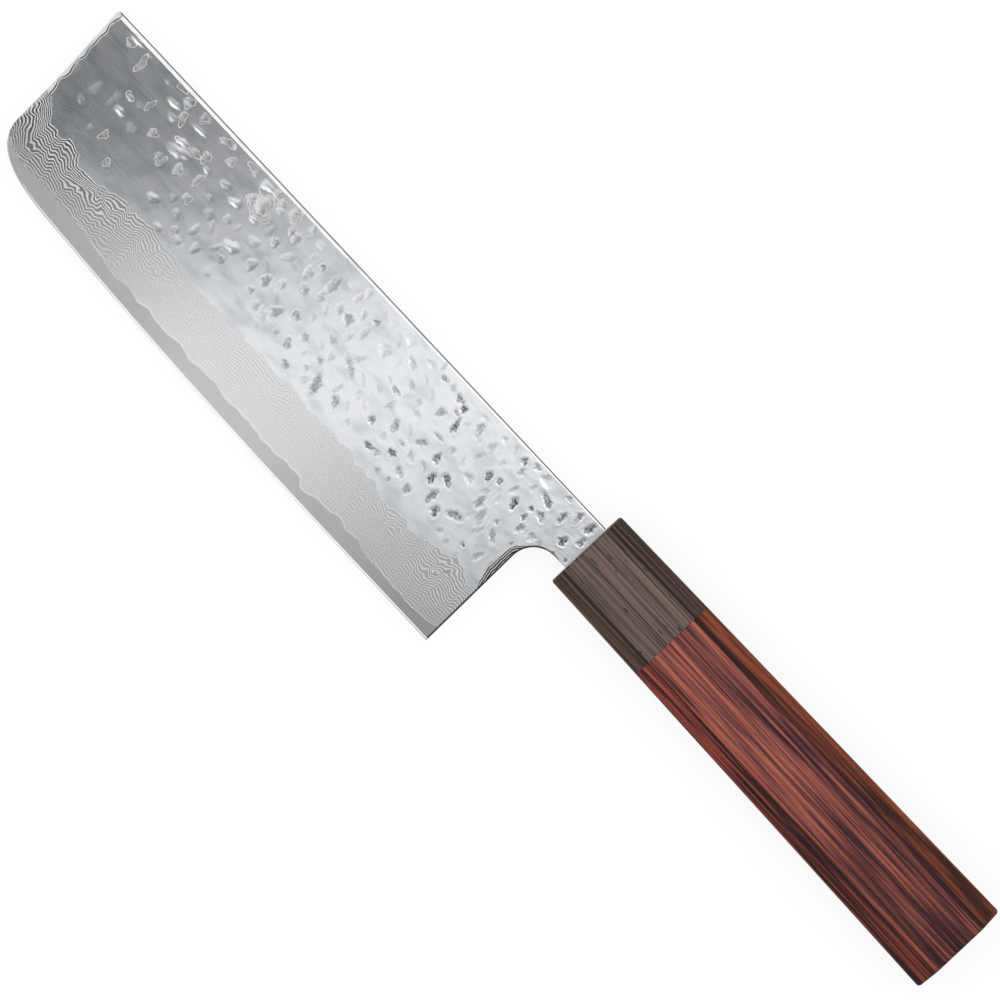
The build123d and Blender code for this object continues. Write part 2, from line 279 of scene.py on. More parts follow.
print("places ready")

# %% [markdown]
# ## Small helpers for shapes
#
# Shapes are built as bmesh forms. These helpers give noise at a row of points, turn a distance into a share,
# pick the parts of one kind out of what an operator made, and put a finished form into the scene.

# %% Helpers for shapes
def noise_at(x, y, z):
    """Noise between -1 and 1 at a row of points; each of x, y and z is a row or one number."""
    return np.array([noise.noise(Vector(place)) for place in np.broadcast(x, y, z)])


def share_of(distance, whole):
    """0 where a distance is nothing or less, 1 from the whole one on."""
    return np.clip(distance / whole, 0, 1)


def only(parts, kind):
    """The parts of one kind: BMVert, BMEdge or BMFace."""
    return [part for part in parts if isinstance(part, kind)]


def into_scene(name, form):
    """A new object with the shape of a form, which is used up."""
    mesh = bpy.data.meshes.new(name)
    form.to_mesh(mesh)
    form.free()
    made = bpy.data.objects.new(name, mesh)
    bpy.context.scene.collection.objects.link(made)
    return made


print("shape helpers ready")

# %% [markdown]
# ## Floor
#
# The floor is plain and pale. Looked at directly, or seen in the steel, it adds its own even white, and the
# rest of it is ordinary matt white, which still darkens softly where the knife keeps the light off.

# %% Floor
floor_size = 10.0
floor_white = (0.97, 0.97, 0.97, 1)
floor_own_light = 0.86


def stand_in_stage(name, low, high):
    """A flat rectangle between two corners that belongs to the stage and not to the knife."""
    size = (high[0] - low[0], high[1] - low[1])
    middle = Matrix.Translation(((high[0] + low[0]) / 2, (high[1] + low[1]) / 2, 0))
    form = bmesh.new()
    spread = middle @ Matrix.Diagonal((*size, 1, 1))
    bmesh.ops.create_grid(form, x_segments=1, y_segments=1, size=0.5, matrix=spread)
    made = into_scene(name, form)
    made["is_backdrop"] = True
    return made


floor_corner = floor_size / 2
floor = stand_in_stage("floor", (-floor_corner, -floor_corner), (floor_corner, floor_corner))
floor_finish, tree, shader = new_finish("pale_floor")
shader.inputs["Base Color"].default_value = floor_white
shader.inputs["Roughness"].default_value = 0.9
shader.inputs["Specular IOR Level"].default_value = 0.0
rays = tree.nodes.new("ShaderNodeLightPath")
seen = math_node(tree, "MAXIMUM", rays.outputs["Is Camera Ray"], rays.outputs["Is Glossy Ray"])
seen = math_node(tree, "MAXIMUM", seen, rays.outputs["Is Transmission Ray"])
own_light = tree.nodes.new("ShaderNodeEmission")
both = tree.nodes.new("ShaderNodeMixShader")
put(tree, both.inputs["Fac"], times(tree, seen, floor_own_light))
tree.links.new(shader.outputs["BSDF"], both.inputs[1])
tree.links.new(own_light.outputs["Emission"], both.inputs[2])
tree.links.new(both.outputs["Shader"], tree.nodes["Material Output"].inputs["Surface"])
floor.data.materials.append(floor_finish)
print("floor", floor_size, "m wide")

# %% [markdown]
# ## Light
#
# Polished steel shows what hangs over it. A studio for such a picture has a broad soft ceiling that is
# brightest straight above and falls off towards the walls: the world makes it here. A long lamp on either
# side of the camera draws streaks on each hollow, and a low warm one lights the eased spine. The fourth
# lamp is a broad one overhead that reflections don't see, because it is there for the woods only.

# %% World and lamps
ceiling_light = 1.18
wall_light = 0.30
wall_height = 0.35
ceiling_height = 0.97

world = bpy.data.worlds.new("studio")
world.use_nodes = True
bpy.context.scene.world = world
tree = world.node_tree
direction = tree.nodes.new("ShaderNodeTexCoord").outputs["Generated"]
split_direction = tree.nodes.new("ShaderNodeSeparateXYZ")
tree.links.new(direction, split_direction.inputs["Vector"])
upward = share_between(tree, split_direction.outputs["Z"], wall_height, ceiling_height)
level = mix_values(tree, upward, wall_light, ceiling_light)
tree.nodes["Background"].inputs["Color"].default_value = (1, 1, 1, 1)
put(tree, tree.nodes["Background"].inputs["Strength"], level)


def long_lamp(name, place, length, width, radiance, colour=(1, 1, 1), mirrored=True):
    """A long soft lamp that faces the knife and is itself out of the picture."""
    data = bpy.data.lights.new(name, "AREA")
    data.shape = "RECTANGLE"
    data.size = length
    data.size_y = width
    data.energy = radiance * math.pi * length * width
    data.color = colour
    lamp = bpy.data.objects.new(name, data)
    back = Vector(place).normalized()
    across = Vector((1, 0, 0))
    facing = Matrix((across, back.cross(across), back)).transposed().to_4x4()
    lamp.matrix_world = Matrix.Translation(place) @ facing
    lamp.visible_camera = False
    lamp.visible_glossy = mirrored
    bpy.context.scene.collection.objects.link(lamp)


long_lamp("spine_side_lamp", (0, 0.27, 1.25), length=1.8, width=0.16, radiance=1.05, colour=(1, 0.965, 0.925))
long_lamp("edge_side_lamp", (0, -0.52, 1.25), length=1.8, width=0.22, radiance=1.1)
long_lamp("low_spine_side_lamp", (0, 1.0, 1.1), length=1.8, width=0.3, radiance=0.45, colour=(1, 0.86, 0.66))
long_lamp("broad_top_lamp", (0, 0, 1.6), length=1.4, width=1.2, radiance=1.36, mirrored=False)

# %% [markdown]
# ## Grey cards over the blade
#
# The front third of the blade looks dark grey because a dark card hangs over it and the steel mirrors the
# card. Another hangs over the heel and the handle. Only reflections see them here: they throw no shadow and
# take no light from the floor. The border of each fades out and runs at a slant, so that the greys pass
# softly into the bright middle of the blade.

# %% Grey cards
card_low_y = -0.20
card_high_y = 0.05
card_tint = (1, 1.04, 1.08)


def grey_card(name, grey, border_x, height, fade, slant, reach):
    """A card from its slanting border towards the tip, or with a positive reach towards the butt."""
    near = math.copysign(2 * fade + card_high_y, -reach)
    card = stand_in_stage(name, (min(near, reach), card_low_y), (max(near, reach), card_high_y))
    card.location = (border_x, 0, height)
    for kind in ("camera", "diffuse", "shadow", "transmission", "volume_scatter"):
        setattr(card, "visible_" + kind, False)
    finish, tree, shader = new_finish(name)
    tree.nodes.remove(shader)
    fade_in = share_between(tree, object_place(tree, (0, 0, math.radians(slant)))["X"], -fade, fade)
    if reach < 0:
        fade_in = less(tree, 1.0, fade_in)
    clear = tree.nodes.new("ShaderNodeBsdfTransparent")
    light = tree.nodes.new("ShaderNodeEmission")
    light.inputs["Color"].default_value = (*(grey * part for part in card_tint), 1)
    both = tree.nodes.new("ShaderNodeMixShader")
    put(tree, both.inputs["Fac"], fade_in)
    tree.links.new(clear.outputs["BSDF"], both.inputs[1])
    tree.links.new(light.outputs["Emission"], both.inputs[2])
    tree.links.new(both.outputs["Shader"], tree.nodes["Material Output"].inputs["Surface"])
    card.data.materials.append(finish)
    print(name, "from x =", border_x, "m")


grey_card("dark_front_card", grey=0.118, border_x=-0.0985, height=0.26, fade=0.040, slant=42, reach=-0.18)
grey_card("grey_heel_card", grey=0.16, border_x=0.010, height=0.29, fade=0.076, slant=36, reach=0.40)

# %% [markdown]
# ## The blade's outline
#
# The side view of the blade is a squared front, a rounded toe, a nearly straight edge, a heel that is cut
# off square, and a concave choil that leads up to the neck. Each stretch is drawn as a row of points: the
# toe is a Bezier curve and the choil a quarter of a circle.

# %% Outline sizes and curves
blade_length = 165.0
blade_height = 51.0
neck_bottom_y = 37.2
choil_radius = 7.2
heel_back_x = 164.4
heel_lean = 0.02
heel_lean_from_y = 30
ferrule_x = 175.5
front_foot = (2.5, 15.3)
front_hollow = 0.35
tip_radius = 1.0


def front_x(y):
    """The slightly hollow front of the blade."""
    middle = (blade_height + front_foot[1]) / 2
    reach = (blade_height - front_foot[1]) / 2
    straight = front_foot[0] * (blade_height - y) / (blade_height - front_foot[1])
    return straight + front_hollow * (1 - ((y - middle) / reach) ** 2)


def bezier(first, first_pull, second_pull, second, count):
    """Points of a cubic Bezier curve."""
    t = np.linspace(0, 1, count)[:, None]
    ends = np.array(first) * (1 - t) ** 3 + np.array(second) * t**3
    return ends + 3 * t * (1 - t) * (np.array(first_pull) * (1 - t) + np.array(second_pull) * t)


def arc(centre, radius, start, end, count):
    """Points of a circle's arc, with its turns in degrees."""
    turns = np.radians(np.linspace(start, end, count))
    return np.column_stack((centre[0] + radius * np.cos(turns), centre[1] + radius * np.sin(turns)))


def points_along(path, shares):
    """Points at the given shares of a path's length."""
    steps = np.hypot(*np.diff(path, axis=0).T)
    length = np.concatenate(([0], np.cumsum(steps)))
    return np.column_stack([np.interp(shares * length[-1], length, path[:, i]) for i in (0, 1)])


toe_curve = bezier(front_foot, (2.5, 7.0), (10.0, 3.643), (25.0, 2.802), 80)
front_y = np.linspace(front_foot[1], blade_height - tip_radius, 60)
front_curve = np.column_stack((front_x(front_y), front_y))
tip_centre = (front_x(blade_height - tip_radius) + tip_radius, blade_height - tip_radius)
choil_curve = arc((heel_back_x + choil_radius, neck_bottom_y - choil_radius), choil_radius, 180, 90, 40)
print("tip corner", [round(v, 2) for v in tip_centre], "toe points", len(toe_curve))

# %% [markdown]
# ## The weld line
#
# Forging joins the hard core to the layered cladding, and grinding the blade thin lays the joint open. Its
# line wanders by a millimetre or two because the two steels were never perfectly flat. The places below
# are listed, and a little noise adds the small bays between them.

# %% Weld line
weld_places = [
    (9.8, 7.9), (18.0, 8.1), (27.1, 7.8), (36.9, 6.7), (41.9, 5.9), (46.8, 5.2), (51.7, 5.9), (55.4, 4.9),
    (59.1, 5.7), (62.8, 4.8), (66.5, 4.9), (70.2, 5.8), (75.1, 4.5), (77.6, 5.2), (85.0, 5.2), (87.4, 4.4),
    (92.0, 4.9), (96.1, 4.7), (101.0, 4.1), (105.9, 4.1), (109.0, 4.6), (114.5, 4.7), (116.0, 3.0),
    (118.2, 2.9), (120.7, 3.9), (125.6, 4.2), (128.6, 5.0), (131.8, 3.9), (135.5, 4.7), (137.9, 3.4),
    (145.3, 3.1), (150.2, 2.9), (155.2, 2.3), (161.3, 3.1), (165.5, 4.3),
]
weld_toe_y = 10.4
weld_toe_place = (5.6, 9.2)
weld_end_x = 164.75
weld_points = 700
weld_bay_height = 0.35
weld_bays_per_mm = 0.45
weld_toe_calm = 10
weld_heel_calm = 3

toe_part = toe_curve[toe_curve[:, 1] > weld_toe_y]
weld_start = toe_part[-1]
weld_x = np.linspace(weld_start[0], weld_end_x, weld_points)
rough_line = [tuple(weld_start), weld_toe_place] + weld_places
weld_y = np.interp(weld_x, [p[0] for p in rough_line], [p[1] for p in rough_line])
weld_bays = noise_at(weld_x * weld_bays_per_mm, 3.3, 0)
weld_fade = share_of(weld_x - weld_x[0], weld_toe_calm)
weld_fade *= share_of(weld_x[-1] - weld_x, weld_heel_calm)
weld_y = weld_y + weld_bay_height * weld_bays * weld_fade
weld_y = np.convolve(np.pad(weld_y, 2, mode="edge"), np.ones(5) / 5, mode="valid")
weld_curve = np.column_stack((weld_x, weld_y))
print("weld line from", weld_curve[0].round(2), "to", weld_curve[-1].round(2))

# %% [markdown]
# ## How thick the cladding is
#
# The face of the blade is the lowest of several planes: the hammered flat, the ground lower part, the eased
# spine, and the polished bands along the front and round the choil. A soft minimum rounds the place where
# the flat passes into the grind, as the polishing wheel does.

# %% Heights of the planes
spine_half_thickness = 1.0
flat_taper = 0.2
flat_taper_height = 31
distal_taper = 0.1
shoulder_y = 19.76
grind_slope = 0.02505
spine_band_slope = 0.375
front_band_slope = 0.30
front_band_width = 0.9
front_band_foot_y = 11
front_band_foot_fade = 6
choil_band_slope = 0.037
choil_band_width = 2.35
choil_band_waver = 0.45
choil_band_wavers_per_mm = 0.7
choil_band_foot_y = 15.0
choil_band_foot_fade = 8
choil_band_top_y = 36.5
choil_band_top_fade = 7
back_edge_break = 0.3
back_edge_slope = 0.6
print("the grind starts at a height of", shoulder_y, "mm and falls by", grind_slope, "in one")

# %% [markdown]
# The flat itself is thinner towards the edge and towards the tip. Every other plane is given by how deep it
# cuts below the flat.

# %% Depths of the planes
def flat_height(x, y):
    """Hammered flat: half the thickness of the blade, which thins towards the edge and the tip."""
    to_edge = flat_taper * (blade_height - y) / flat_taper_height
    to_tip = distal_taper * (ferrule_x - x) / ferrule_x
    return spine_half_thickness - to_edge - to_tip


def back_distance(x, y):
    """How far a point lies in from the back of the heel and the choil."""
    square = heel_back_x + (heel_lean_from_y - y) * heel_lean - x
    choil = np.hypot(x - heel_back_x - choil_radius, y - neck_bottom_y + choil_radius) - choil_radius
    return np.where(y < neck_bottom_y - choil_radius, square, choil)


def choil_band(x, y):
    """Width of the polished band: it dies out down the heel and along the neck."""
    rise = share_of(y - choil_band_foot_y, choil_band_foot_fade)
    run_out = share_of(choil_band_top_y - y, choil_band_top_fade)
    soft_end = (3 - 2 * rise) * rise**2 * (3 - 2 * run_out) * run_out**2
    waver = noise_at(7.7, y * choil_band_wavers_per_mm, 0)
    return (choil_band_width + choil_band_waver * waver) * soft_end


def soft_lower(first, second, softness):
    """The lower of two heights, rounded where they meet."""
    return 0.5 * (first + second - np.sqrt((first - second) ** 2 + softness**2))


def front_distance(x, y):
    """How far a point lies in from the front of the blade."""
    return x - front_x(np.maximum(y, front_foot[1]))


def plane_depths(x, y):
    """How deep each ground plane cuts below the flat; less than nothing where it doesn't reach it."""
    ground = (shoulder_y - y) * grind_slope
    tall = share_of(y - front_band_foot_y, front_band_foot_fade)
    front = front_band_slope * (front_band_width * tall - front_distance(x, y))
    choil = choil_band_slope * (choil_band(x, y) - back_distance(x, y))
    return ground, front, choil


for where, x in (("tip", 0), ("neck", ferrule_x)):
    print("half thickness of the spine at the", where, round(flat_height(x, blade_height), 3))

# %% [markdown]
# ## Hammer marks
#
# Each mark is a shallow hollow with a slightly raised rim, where the hammer moved steel aside. Towards the
# neck the hollows keep their dark forging skin; towards the tip the wheel has nearly wiped them out. The
# first list gives the place, the length and width, the turn in degrees, and how much dark skin is left. The
# second one gives the small hollows that cut through the outer layers and show them as closed rings: its
# last number is how many.

# %% Table of the hammer marks
hammer_marks = [
    (8.9, 49.1, 4.9, 1.2, 0, 0), (7.9, 47.5, 2.2, 1.5, 0, 0), (13.5, 49.0, 2.0, 1.2, 0, 0),
    (13.8, 46.1, 4.4, 2.0, 90, 0), (21.2, 47.8, 1.7, 1.5, 90, 0), (28.3, 48.3, 2.7, 2.7, 0, 0),
    (30.0, 44.8, 3.7, 2.0, 110, 0), (33.5, 48.5, 2.2, 1.5, 90, 0), (35.5, 45.3, 5.4, 1.2, 3, 0),
    (41.4, 48.0, 2.5, 1.7, 60, 0), (44.3, 48.8, 2.2, 1.2, 0, 0), (46.3, 45.3, 2.0, 2.0, 0, 0),
    (52.5, 47.8, 2.0, 1.5, 0, 0), (56.7, 48.0, 4.2, 2.2, 10, 0), (59.9, 48.3, 3.0, 2.2, 110, 0.1),
    (62.3, 47.8, 2.0, 1.7, 0, 0.1), (66.0, 48.0, 3.4, 1.7, 90, 0.1), (56.2, 42.9, 2.5, 2.2, 90, 0.2),
    (59.1, 44.1, 4.9, 4.4, 90, 0.1), (69.0, 44.6, 2.2, 1.5, 130, 0.8), (70.9, 44.3, 3.0, 2.0, 90, 0.7),
    (26.1, 45.1, 4.9, 1.5, 5, 0), (28.6, 42.6, 3.2, 2.0, 10, 0), (41.1, 42.1, 2.7, 2.0, 110, 0),
    (38.4, 40.4, 2.5, 2.2, 0, 0.1), (34.5, 40.1, 4.4, 1.5, 10, 0), (43.8, 39.7, 3.0, 1.2, -15, 0),
    (43.8, 36.7, 3.9, 1.5, 80, 0), (22.2, 40.1, 3.0, 1.2, 80, 0), (20.7, 38.7, 2.2, 1.7, 30, 0),
    (17.7, 38.2, 2.7, 1.2, -10, 0), (27.8, 36.2, 2.2, 2.2, 0, 0.3), (35.7, 37.7, 7.4, 3.0, 20, 0),
    (33.0, 33.5, 2.2, 2.0, 90, 0.3), (34.5, 32.8, 2.7, 2.2, 70, 0.3), (38.7, 34.7, 2.7, 2.5, 90, 0.5),
    (45.1, 31.4, 2.2, 2.0, 0, 0.3), (42.9, 29.1, 2.0, 1.7, 120, 0.2), (39.4, 25.4, 3.7, 2.0, 20, 0),
    (49.0, 24.1, 2.2, 1.5, 20, 0.5), (51.2, 22.7, 2.5, 1.2, -20, 0.3), (20.0, 27.6, 2.2, 1.7, 80, 0),
    (25.9, 22.9, 2.2, 1.5, 90, 0), (55.9, 35.2, 2.2, 2.0, 0, 0.5), (49.0, 35.7, 2.2, 1.0, 0, 0),
    (60.3, 39.7, 2.7, 1.2, 5, 0), (61.6, 31.3, 4.9, 2.5, 20, 0), (61.8, 27.3, 2.5, 1.5, 0, 0.8),
    (55.7, 24.6, 3.0, 2.0, 90, 0.4), (68.0, 39.9, 2.5, 2.0, 110, 0.7), (68.0, 31.8, 3.2, 2.5, 80, 0.5),
    (73.2, 31.8, 3.2, 2.2, 90, 0.8), (72.4, 27.6, 1.7, 1.7, 0, 0.5), (10.3, 33.7, 4.9, 2.7, 80, 0),
    (3.4, 33.7, 3.9, 2.2, 90, 0), (15.3, 35.7, 5.4, 2.2, 85, 0), (9.9, 29.1, 3.4, 2.0, -15, 0),
    (16.3, 26.1, 2.0, 2.0, 0, 0), (18.5, 34.2, 3.9, 1.7, 0, 0), (23.4, 33.3, 3.4, 2.5, 0, 0),
    (49.3, 40.6, 3.4, 2.0, 15, 0), (51.7, 32.8, 3.0, 2.2, -20, 0), (63.3, 46.1, 2.2, 2.2, 0, 0),
    (64.5, 36.2, 3.0, 2.2, 10, 0.2), (54.4, 39.4, 3.9, 2.0, 15, 0), (45.6, 21.4, 2.5, 1.5, 0, 0),
    (80.5, 44.3, 1.7, 1.5, -30, 0.9), (85.5, 43.1, 5.4, 2.2, 90, 0.5), (85.5, 38.9, 2.5, 2.0, 90, 0.5),
    (79.1, 40.9, 3.2, 2.2, 90, 0.5), (81.3, 37.4, 2.5, 2.5, 0, 0.5), (94.1, 40.1, 3.2, 2.7, 90, 0.8),
    (99.5, 44.6, 2.0, 1.7, 90, 0.8), (95.1, 34.0, 2.7, 2.0, 0, 0.5), (84.7, 31.5, 2.5, 2.2, -20, 0.8),
    (80.5, 28.3, 3.9, 2.2, 55, 0.7), (90.1, 29.3, 2.5, 2.0, 90, 0.5), (88.2, 25.1, 3.2, 2.2, 120, 0.7),
    (84.2, 25.1, 2.0, 1.5, 90, 0.3), (91.6, 21.2, 2.7, 2.0, -20, 0.7), (96.8, 28.1, 2.2, 1.5, 0, 0.7),
    (95.8, 24.4, 2.2, 1.5, 20, 0.5), (100.5, 23.4, 6.4, 2.5, 110, 0.8), (106.7, 23.9, 3.7, 2.2, 120, 0.6),
    (103.2, 32.3, 6.7, 2.0, -35, 0.6), (108.4, 48.0, 3.9, 3.0, 0, 0.1), (113.1, 44.1, 3.9, 2.2, -30, 0.4),
    (115.0, 36.5, 3.0, 1.7, 0, 0.7), (117.0, 32.8, 3.4, 2.0, 90, 0.3), (116.3, 27.3, 2.2, 2.2, 0, 0.9),
    (121.4, 30.5, 3.9, 2.0, 105, 0.6), (125.6, 28.8, 2.2, 1.2, 0, 0.6), (125.6, 25.4, 2.7, 2.0, 15, 1.0),
    (120.4, 22.4, 3.7, 1.7, 5, 0.9), (122.9, 22.7, 2.0, 2.0, 40, 0.5), (126.4, 19.7, 2.0, 2.0, 20, 0.9),
    (129.6, 20.2, 1.7, 1.2, 70, 0.8), (121.2, 47.3, 2.5, 1.7, 0, 0.8), (127.6, 46.6, 3.2, 2.0, -10, 0.8),
    (130.0, 45.6, 2.2, 2.0, 90, 0.9), (129.3, 43.8, 2.5, 1.2, -10, 0.7), (131.5, 41.1, 4.9, 1.7, 100, 0.9),
    (126.6, 41.1, 3.2, 2.2, 70, 0.6), (130.8, 36.5, 3.7, 1.2, 0, 0.5), (128.8, 32.5, 3.7, 1.7, 40, 0.6),
    (134.2, 32.5, 3.2, 2.2, 105, 0.8), (139.7, 30.8, 4.2, 2.0, -25, 0.9), (136.9, 28.1, 3.2, 2.0, 100, 1.0),
    (140.1, 25.4, 4.9, 2.0, 90, 0.7), (143.3, 23.2, 3.4, 2.2, 105, 0.9), (134.7, 21.9, 3.0, 2.2, 90, 0.6),
    (130.3, 23.4, 3.0, 2.0, -20, 0.5), (147.5, 26.1, 4.9, 2.2, 20, 0.7), (136.2, 45.1, 4.4, 2.2, 100, 0.5),
    (146.1, 38.9, 3.4, 2.0, 110, 0.9), (148.8, 39.9, 2.0, 1.7, 90, 0.8), (149.5, 47.8, 2.2, 2.0, 90, 0.8),
    (149.3, 32.8, 4.2, 2.2, 90, 0.6), (144.8, 17.5, 1.5, 1.0, 0, 0.9), (105.9, 41.6, 3.9, 3.4, 90, 0.2),
    (88.9, 46.6, 3.4, 2.0, 10, 0.1), (98.0, 30.8, 3.0, 2.0, 90, 0.2), (109.6, 29.3, 3.4, 2.2, 90, 0.1),
    (112.1, 33.7, 2.0, 2.0, 0, 0.2), (123.2, 36.2, 2.5, 2.0, 0, 0.2), (141.6, 44.1, 3.9, 2.0, 90, 0.3),
    (143.3, 35.0, 3.0, 2.2, -10, 0.3), (135.5, 36.7, 2.0, 2.0, 0, 0.3), (76.4, 47.5, 3.4, 1.7, 0, 0.1),
    (116.3, 47.5, 3.4, 2.0, 0, 0.1), (102.2, 48.0, 3.9, 2.0, 0, 0.1), (135.5, 48.0, 3.4, 1.5, 0, 0.2),
    (142.4, 48.0, 2.2, 1.7, 0, 0.2), (112.6, 22.4, 2.0, 2.0, 0, 0.2), (76.8, 34.2, 2.2, 2.0, 90, 0.4),
    (75.9, 25.9, 2.5, 2.2, 90, 0.3), (151.0, 45.3, 2.7, 1.7, 90, 0.5), (156.7, 48.5, 3.2, 3.2, 0, 0.2),
    (160.6, 45.1, 4.7, 2.0, -20, 0.9), (159.1, 40.9, 1.5, 1.5, 0, 0.9), (155.2, 38.9, 3.7, 2.0, 105, 1.0),
    (162.1, 41.4, 3.0, 2.0, -20, 0.7), (159.4, 38.2, 2.2, 1.5, 90, 0.8), (160.8, 35.7, 3.0, 1.7, 75, 0.6),
    (166.0, 45.1, 3.9, 1.7, 90, 0.8), (168.7, 48.0, 3.7, 1.7, 90, 0.8), (172.7, 48.0, 4.2, 2.0, 80, 0.9),
    (173.6, 44.1, 3.0, 1.7, 80, 0.8), (170.2, 41.1, 3.0, 2.2, 75, 1.0), (170.7, 37.4, 1.2, 1.0, 0, 0.9),
    (174.1, 38.4, 1.2, 1.2, 0, 0.8), (155.7, 32.5, 1.7, 1.5, 0, 0.5), (157.6, 29.3, 3.9, 1.7, -45, 0.6),
    (153.9, 22.7, 1.7, 1.2, 0, 0.9), (154.7, 19.5, 2.0, 1.2, 0, 0.8), (150.7, 19.5, 3.4, 1.5, 90, 0.5),
    (162.1, 31.5, 1.2, 1.2, 0, 0.7), (152.2, 30.3, 4.9, 2.2, 110, 0.4), (147.8, 20.7, 2.0, 2.0, 0, 0.3),
    (163.8, 49.5, 2.0, 1.5, 0, 0.5), (152.7, 49.0, 2.2, 1.7, 0, 0.6), (164.3, 36.2, 2.5, 2.0, 90, 0.3),
]
contour_marks = [
    (8.1, 47.5, 2.5, 1.5, -12, 1), (13.6, 46.1, 4.4, 1.5, 97, 1), (28.6, 47.9, 2.7, 2.0, 60, 1),
    (30.2, 44.3, 3.6, 1.4, 118, 1), (34.2, 48.1, 2.2, 1.8, 80, 2), (42.5, 48.4, 4.0, 1.4, 15, 1),
    (41.3, 41.8, 2.7, 1.8, 90, 1), (34.5, 40.1, 4.2, 1.3, 8, 1), (38.8, 40.4, 2.3, 2.0, 0, 1),
    (46.2, 45.5, 2.1, 1.9, 100, 1), (43.9, 36.9, 3.4, 1.2, 85, 1), (56.2, 43.2, 2.4, 2.0, 90, 1),
    (57.3, 46.5, 3.0, 1.8, 20, 1), (22.3, 40.4, 3.2, 1.1, 80, 1), (28.0, 36.4, 2.0, 1.8, 0, 1),
    (45.6, 31.5, 1.9, 1.8, 0, 1), (20.0, 27.3, 2.4, 1.5, 75, 1), (38.8, 34.7, 2.3, 2.1, 90, 1),
    (33.9, 33.0, 2.7, 1.8, 60, 1), (25.4, 23.0, 2.0, 1.4, 100, 1), (59.7, 43.4, 6.4, 4.6, 90, 3),
    (63.0, 47.8, 4.6, 2.6, 10, 2), (67.5, 47.9, 3.4, 1.6, 90, 1), (51.0, 48.6, 2.6, 1.3, 0, 1),
    (17.2, 38.4, 2.6, 1.2, -10, 1), (24.5, 49.2, 3.0, 1.1, 0, 1), (72.0, 47.6, 3.2, 1.6, 80, 1),
    (49.6, 22.9, 2.0, 1.2, 20, 1),
]
print(len(hammer_marks), "placed marks and", len(contour_marks), "ringed hollows")

# %% [markdown]
# A mark's border wavers three and five times on its way round, because no hammer leaves an ellipse. In the
# front half of the blade, a long mark that lies along it is deeper than the others.

# %% Working the marks in
mark_deepest = 0.12
mark_plain_depth = 0.021
mark_skin_depth = 0.034
mark_long_depth = 0.05
mark_roundness = 1.6
mark_border_share = 0.56
mark_rim_height = 0.014
mark_rim_plain_share = 0.15
mark_rim_place = 1.14
mark_rim_width = 0.18
mark_wobble_of_three = 0.15
mark_wobble_of_five = 0.09
long_mark_shape = 1.35
long_mark_turn = 35
long_mark_end_x = 70
contour_restless = 1.7
contour_spread = 1.3


def into_mark(x, y, mark_x, mark_y, long, wide, turn, restless=1.0):
    """The points near a mark, and how far out of its middle each lies: 1 is its border, which wavers."""
    near = np.nonzero((np.abs(x - mark_x) < long) & (np.abs(y - mark_y) < long))[0]
    c, s = math.cos(math.radians(turn)), math.sin(math.radians(turn))
    dx, dy = x[near] - mark_x, y[near] - mark_y
    round_about = np.arctan2(dy, dx)
    wobble = mark_wobble_of_three * np.sin(3 * round_about + mark_x * 7)
    wobble = wobble + mark_wobble_of_five * np.sin(5 * round_about + mark_y * 5)
    along = (dx * c + dy * s) / (mark_border_share * long)
    across = (dy * c - dx * s) / (mark_border_share * wide)
    return near, np.hypot(along, across) / (1 + restless * wobble)


def hammered(x, y, marks):
    """What the hammer takes off the flat, and at each point how far into a mark it lies and its skin."""
    sunk = np.zeros_like(x)
    bowl = np.zeros_like(x)
    skin = np.zeros_like(x)
    for mark_x, mark_y, long, wide, turn, dark in marks:
        near, out = into_mark(x, y, mark_x, mark_y, long, wide, turn)
        inside = np.clip(1 - out**2, 0, 1)
        lengthwise = np.clip(long / wide - long_mark_shape, 0, 1) * (1 - dark)
        if abs(turn) >= long_mark_turn or mark_x >= long_mark_end_x:
            lengthwise = 0
        depth = wide * (mark_plain_depth + mark_skin_depth * dark + mark_long_depth * lengthwise)
        rim = np.exp(-(((out - mark_rim_place) / mark_rim_width) ** 2))
        rim = mark_rim_height * (mark_rim_plain_share + dark) * rim
        sunk[near] += min(mark_deepest, depth) * inside**mark_roundness - rim
        skin[near] = np.where(inside > bowl[near], dark, skin[near])
        bowl[near] = np.maximum(bowl[near], inside)
    return sunk, bowl, skin


def contours(x, y, marks):
    """Small hollows that cut through a few layers: how many layers deep each point lies."""
    loops = np.zeros_like(x)
    for *mark, rings in marks:
        near, out = into_mark(x, y, *mark, restless=contour_restless)
        inside = np.clip(contour_spread - out**2, 0, contour_spread)
        loops[near] = np.maximum(loops[near], rings * inside / contour_spread)
    return loops


print("a mark is at most", mark_deepest, "mm deep")

# %% [markdown]
# Fainter marks are strewn between the others in a fixed random order, because the wheel leaves such traces
# wherever the hammer fell. None comes closer than a small distance to another mark.

# %% Faint marks
faint_mark_x = (46, 174)
faint_mark_y = (21.5, 49.5)
faint_mark_looks = [(2.2, 4.4), (1.0, 1.8), (50, 150), (0.10, 0.38)]


def faint_marks(count, apart, seed):
    """Soft, nearly polished-out marks between the deep ones, in a fixed random order."""
    chance = np.random.default_rng(seed)
    placed = [mark[:2] for mark in hammer_marks]
    made = []
    while len(made) < count:
        x, y = chance.uniform(*faint_mark_x), chance.uniform(*faint_mark_y)
        if min(math.dist((x, y), place) for place in placed) > apart:
            placed.append((x, y))
            made.append((x, y, *(chance.uniform(low, high) for low, high in faint_mark_looks)))
    return made


hammer_marks = hammer_marks + faint_marks(count=66, apart=2.9, seed=5)
print(len(hammer_marks), "hammer marks on the left face")

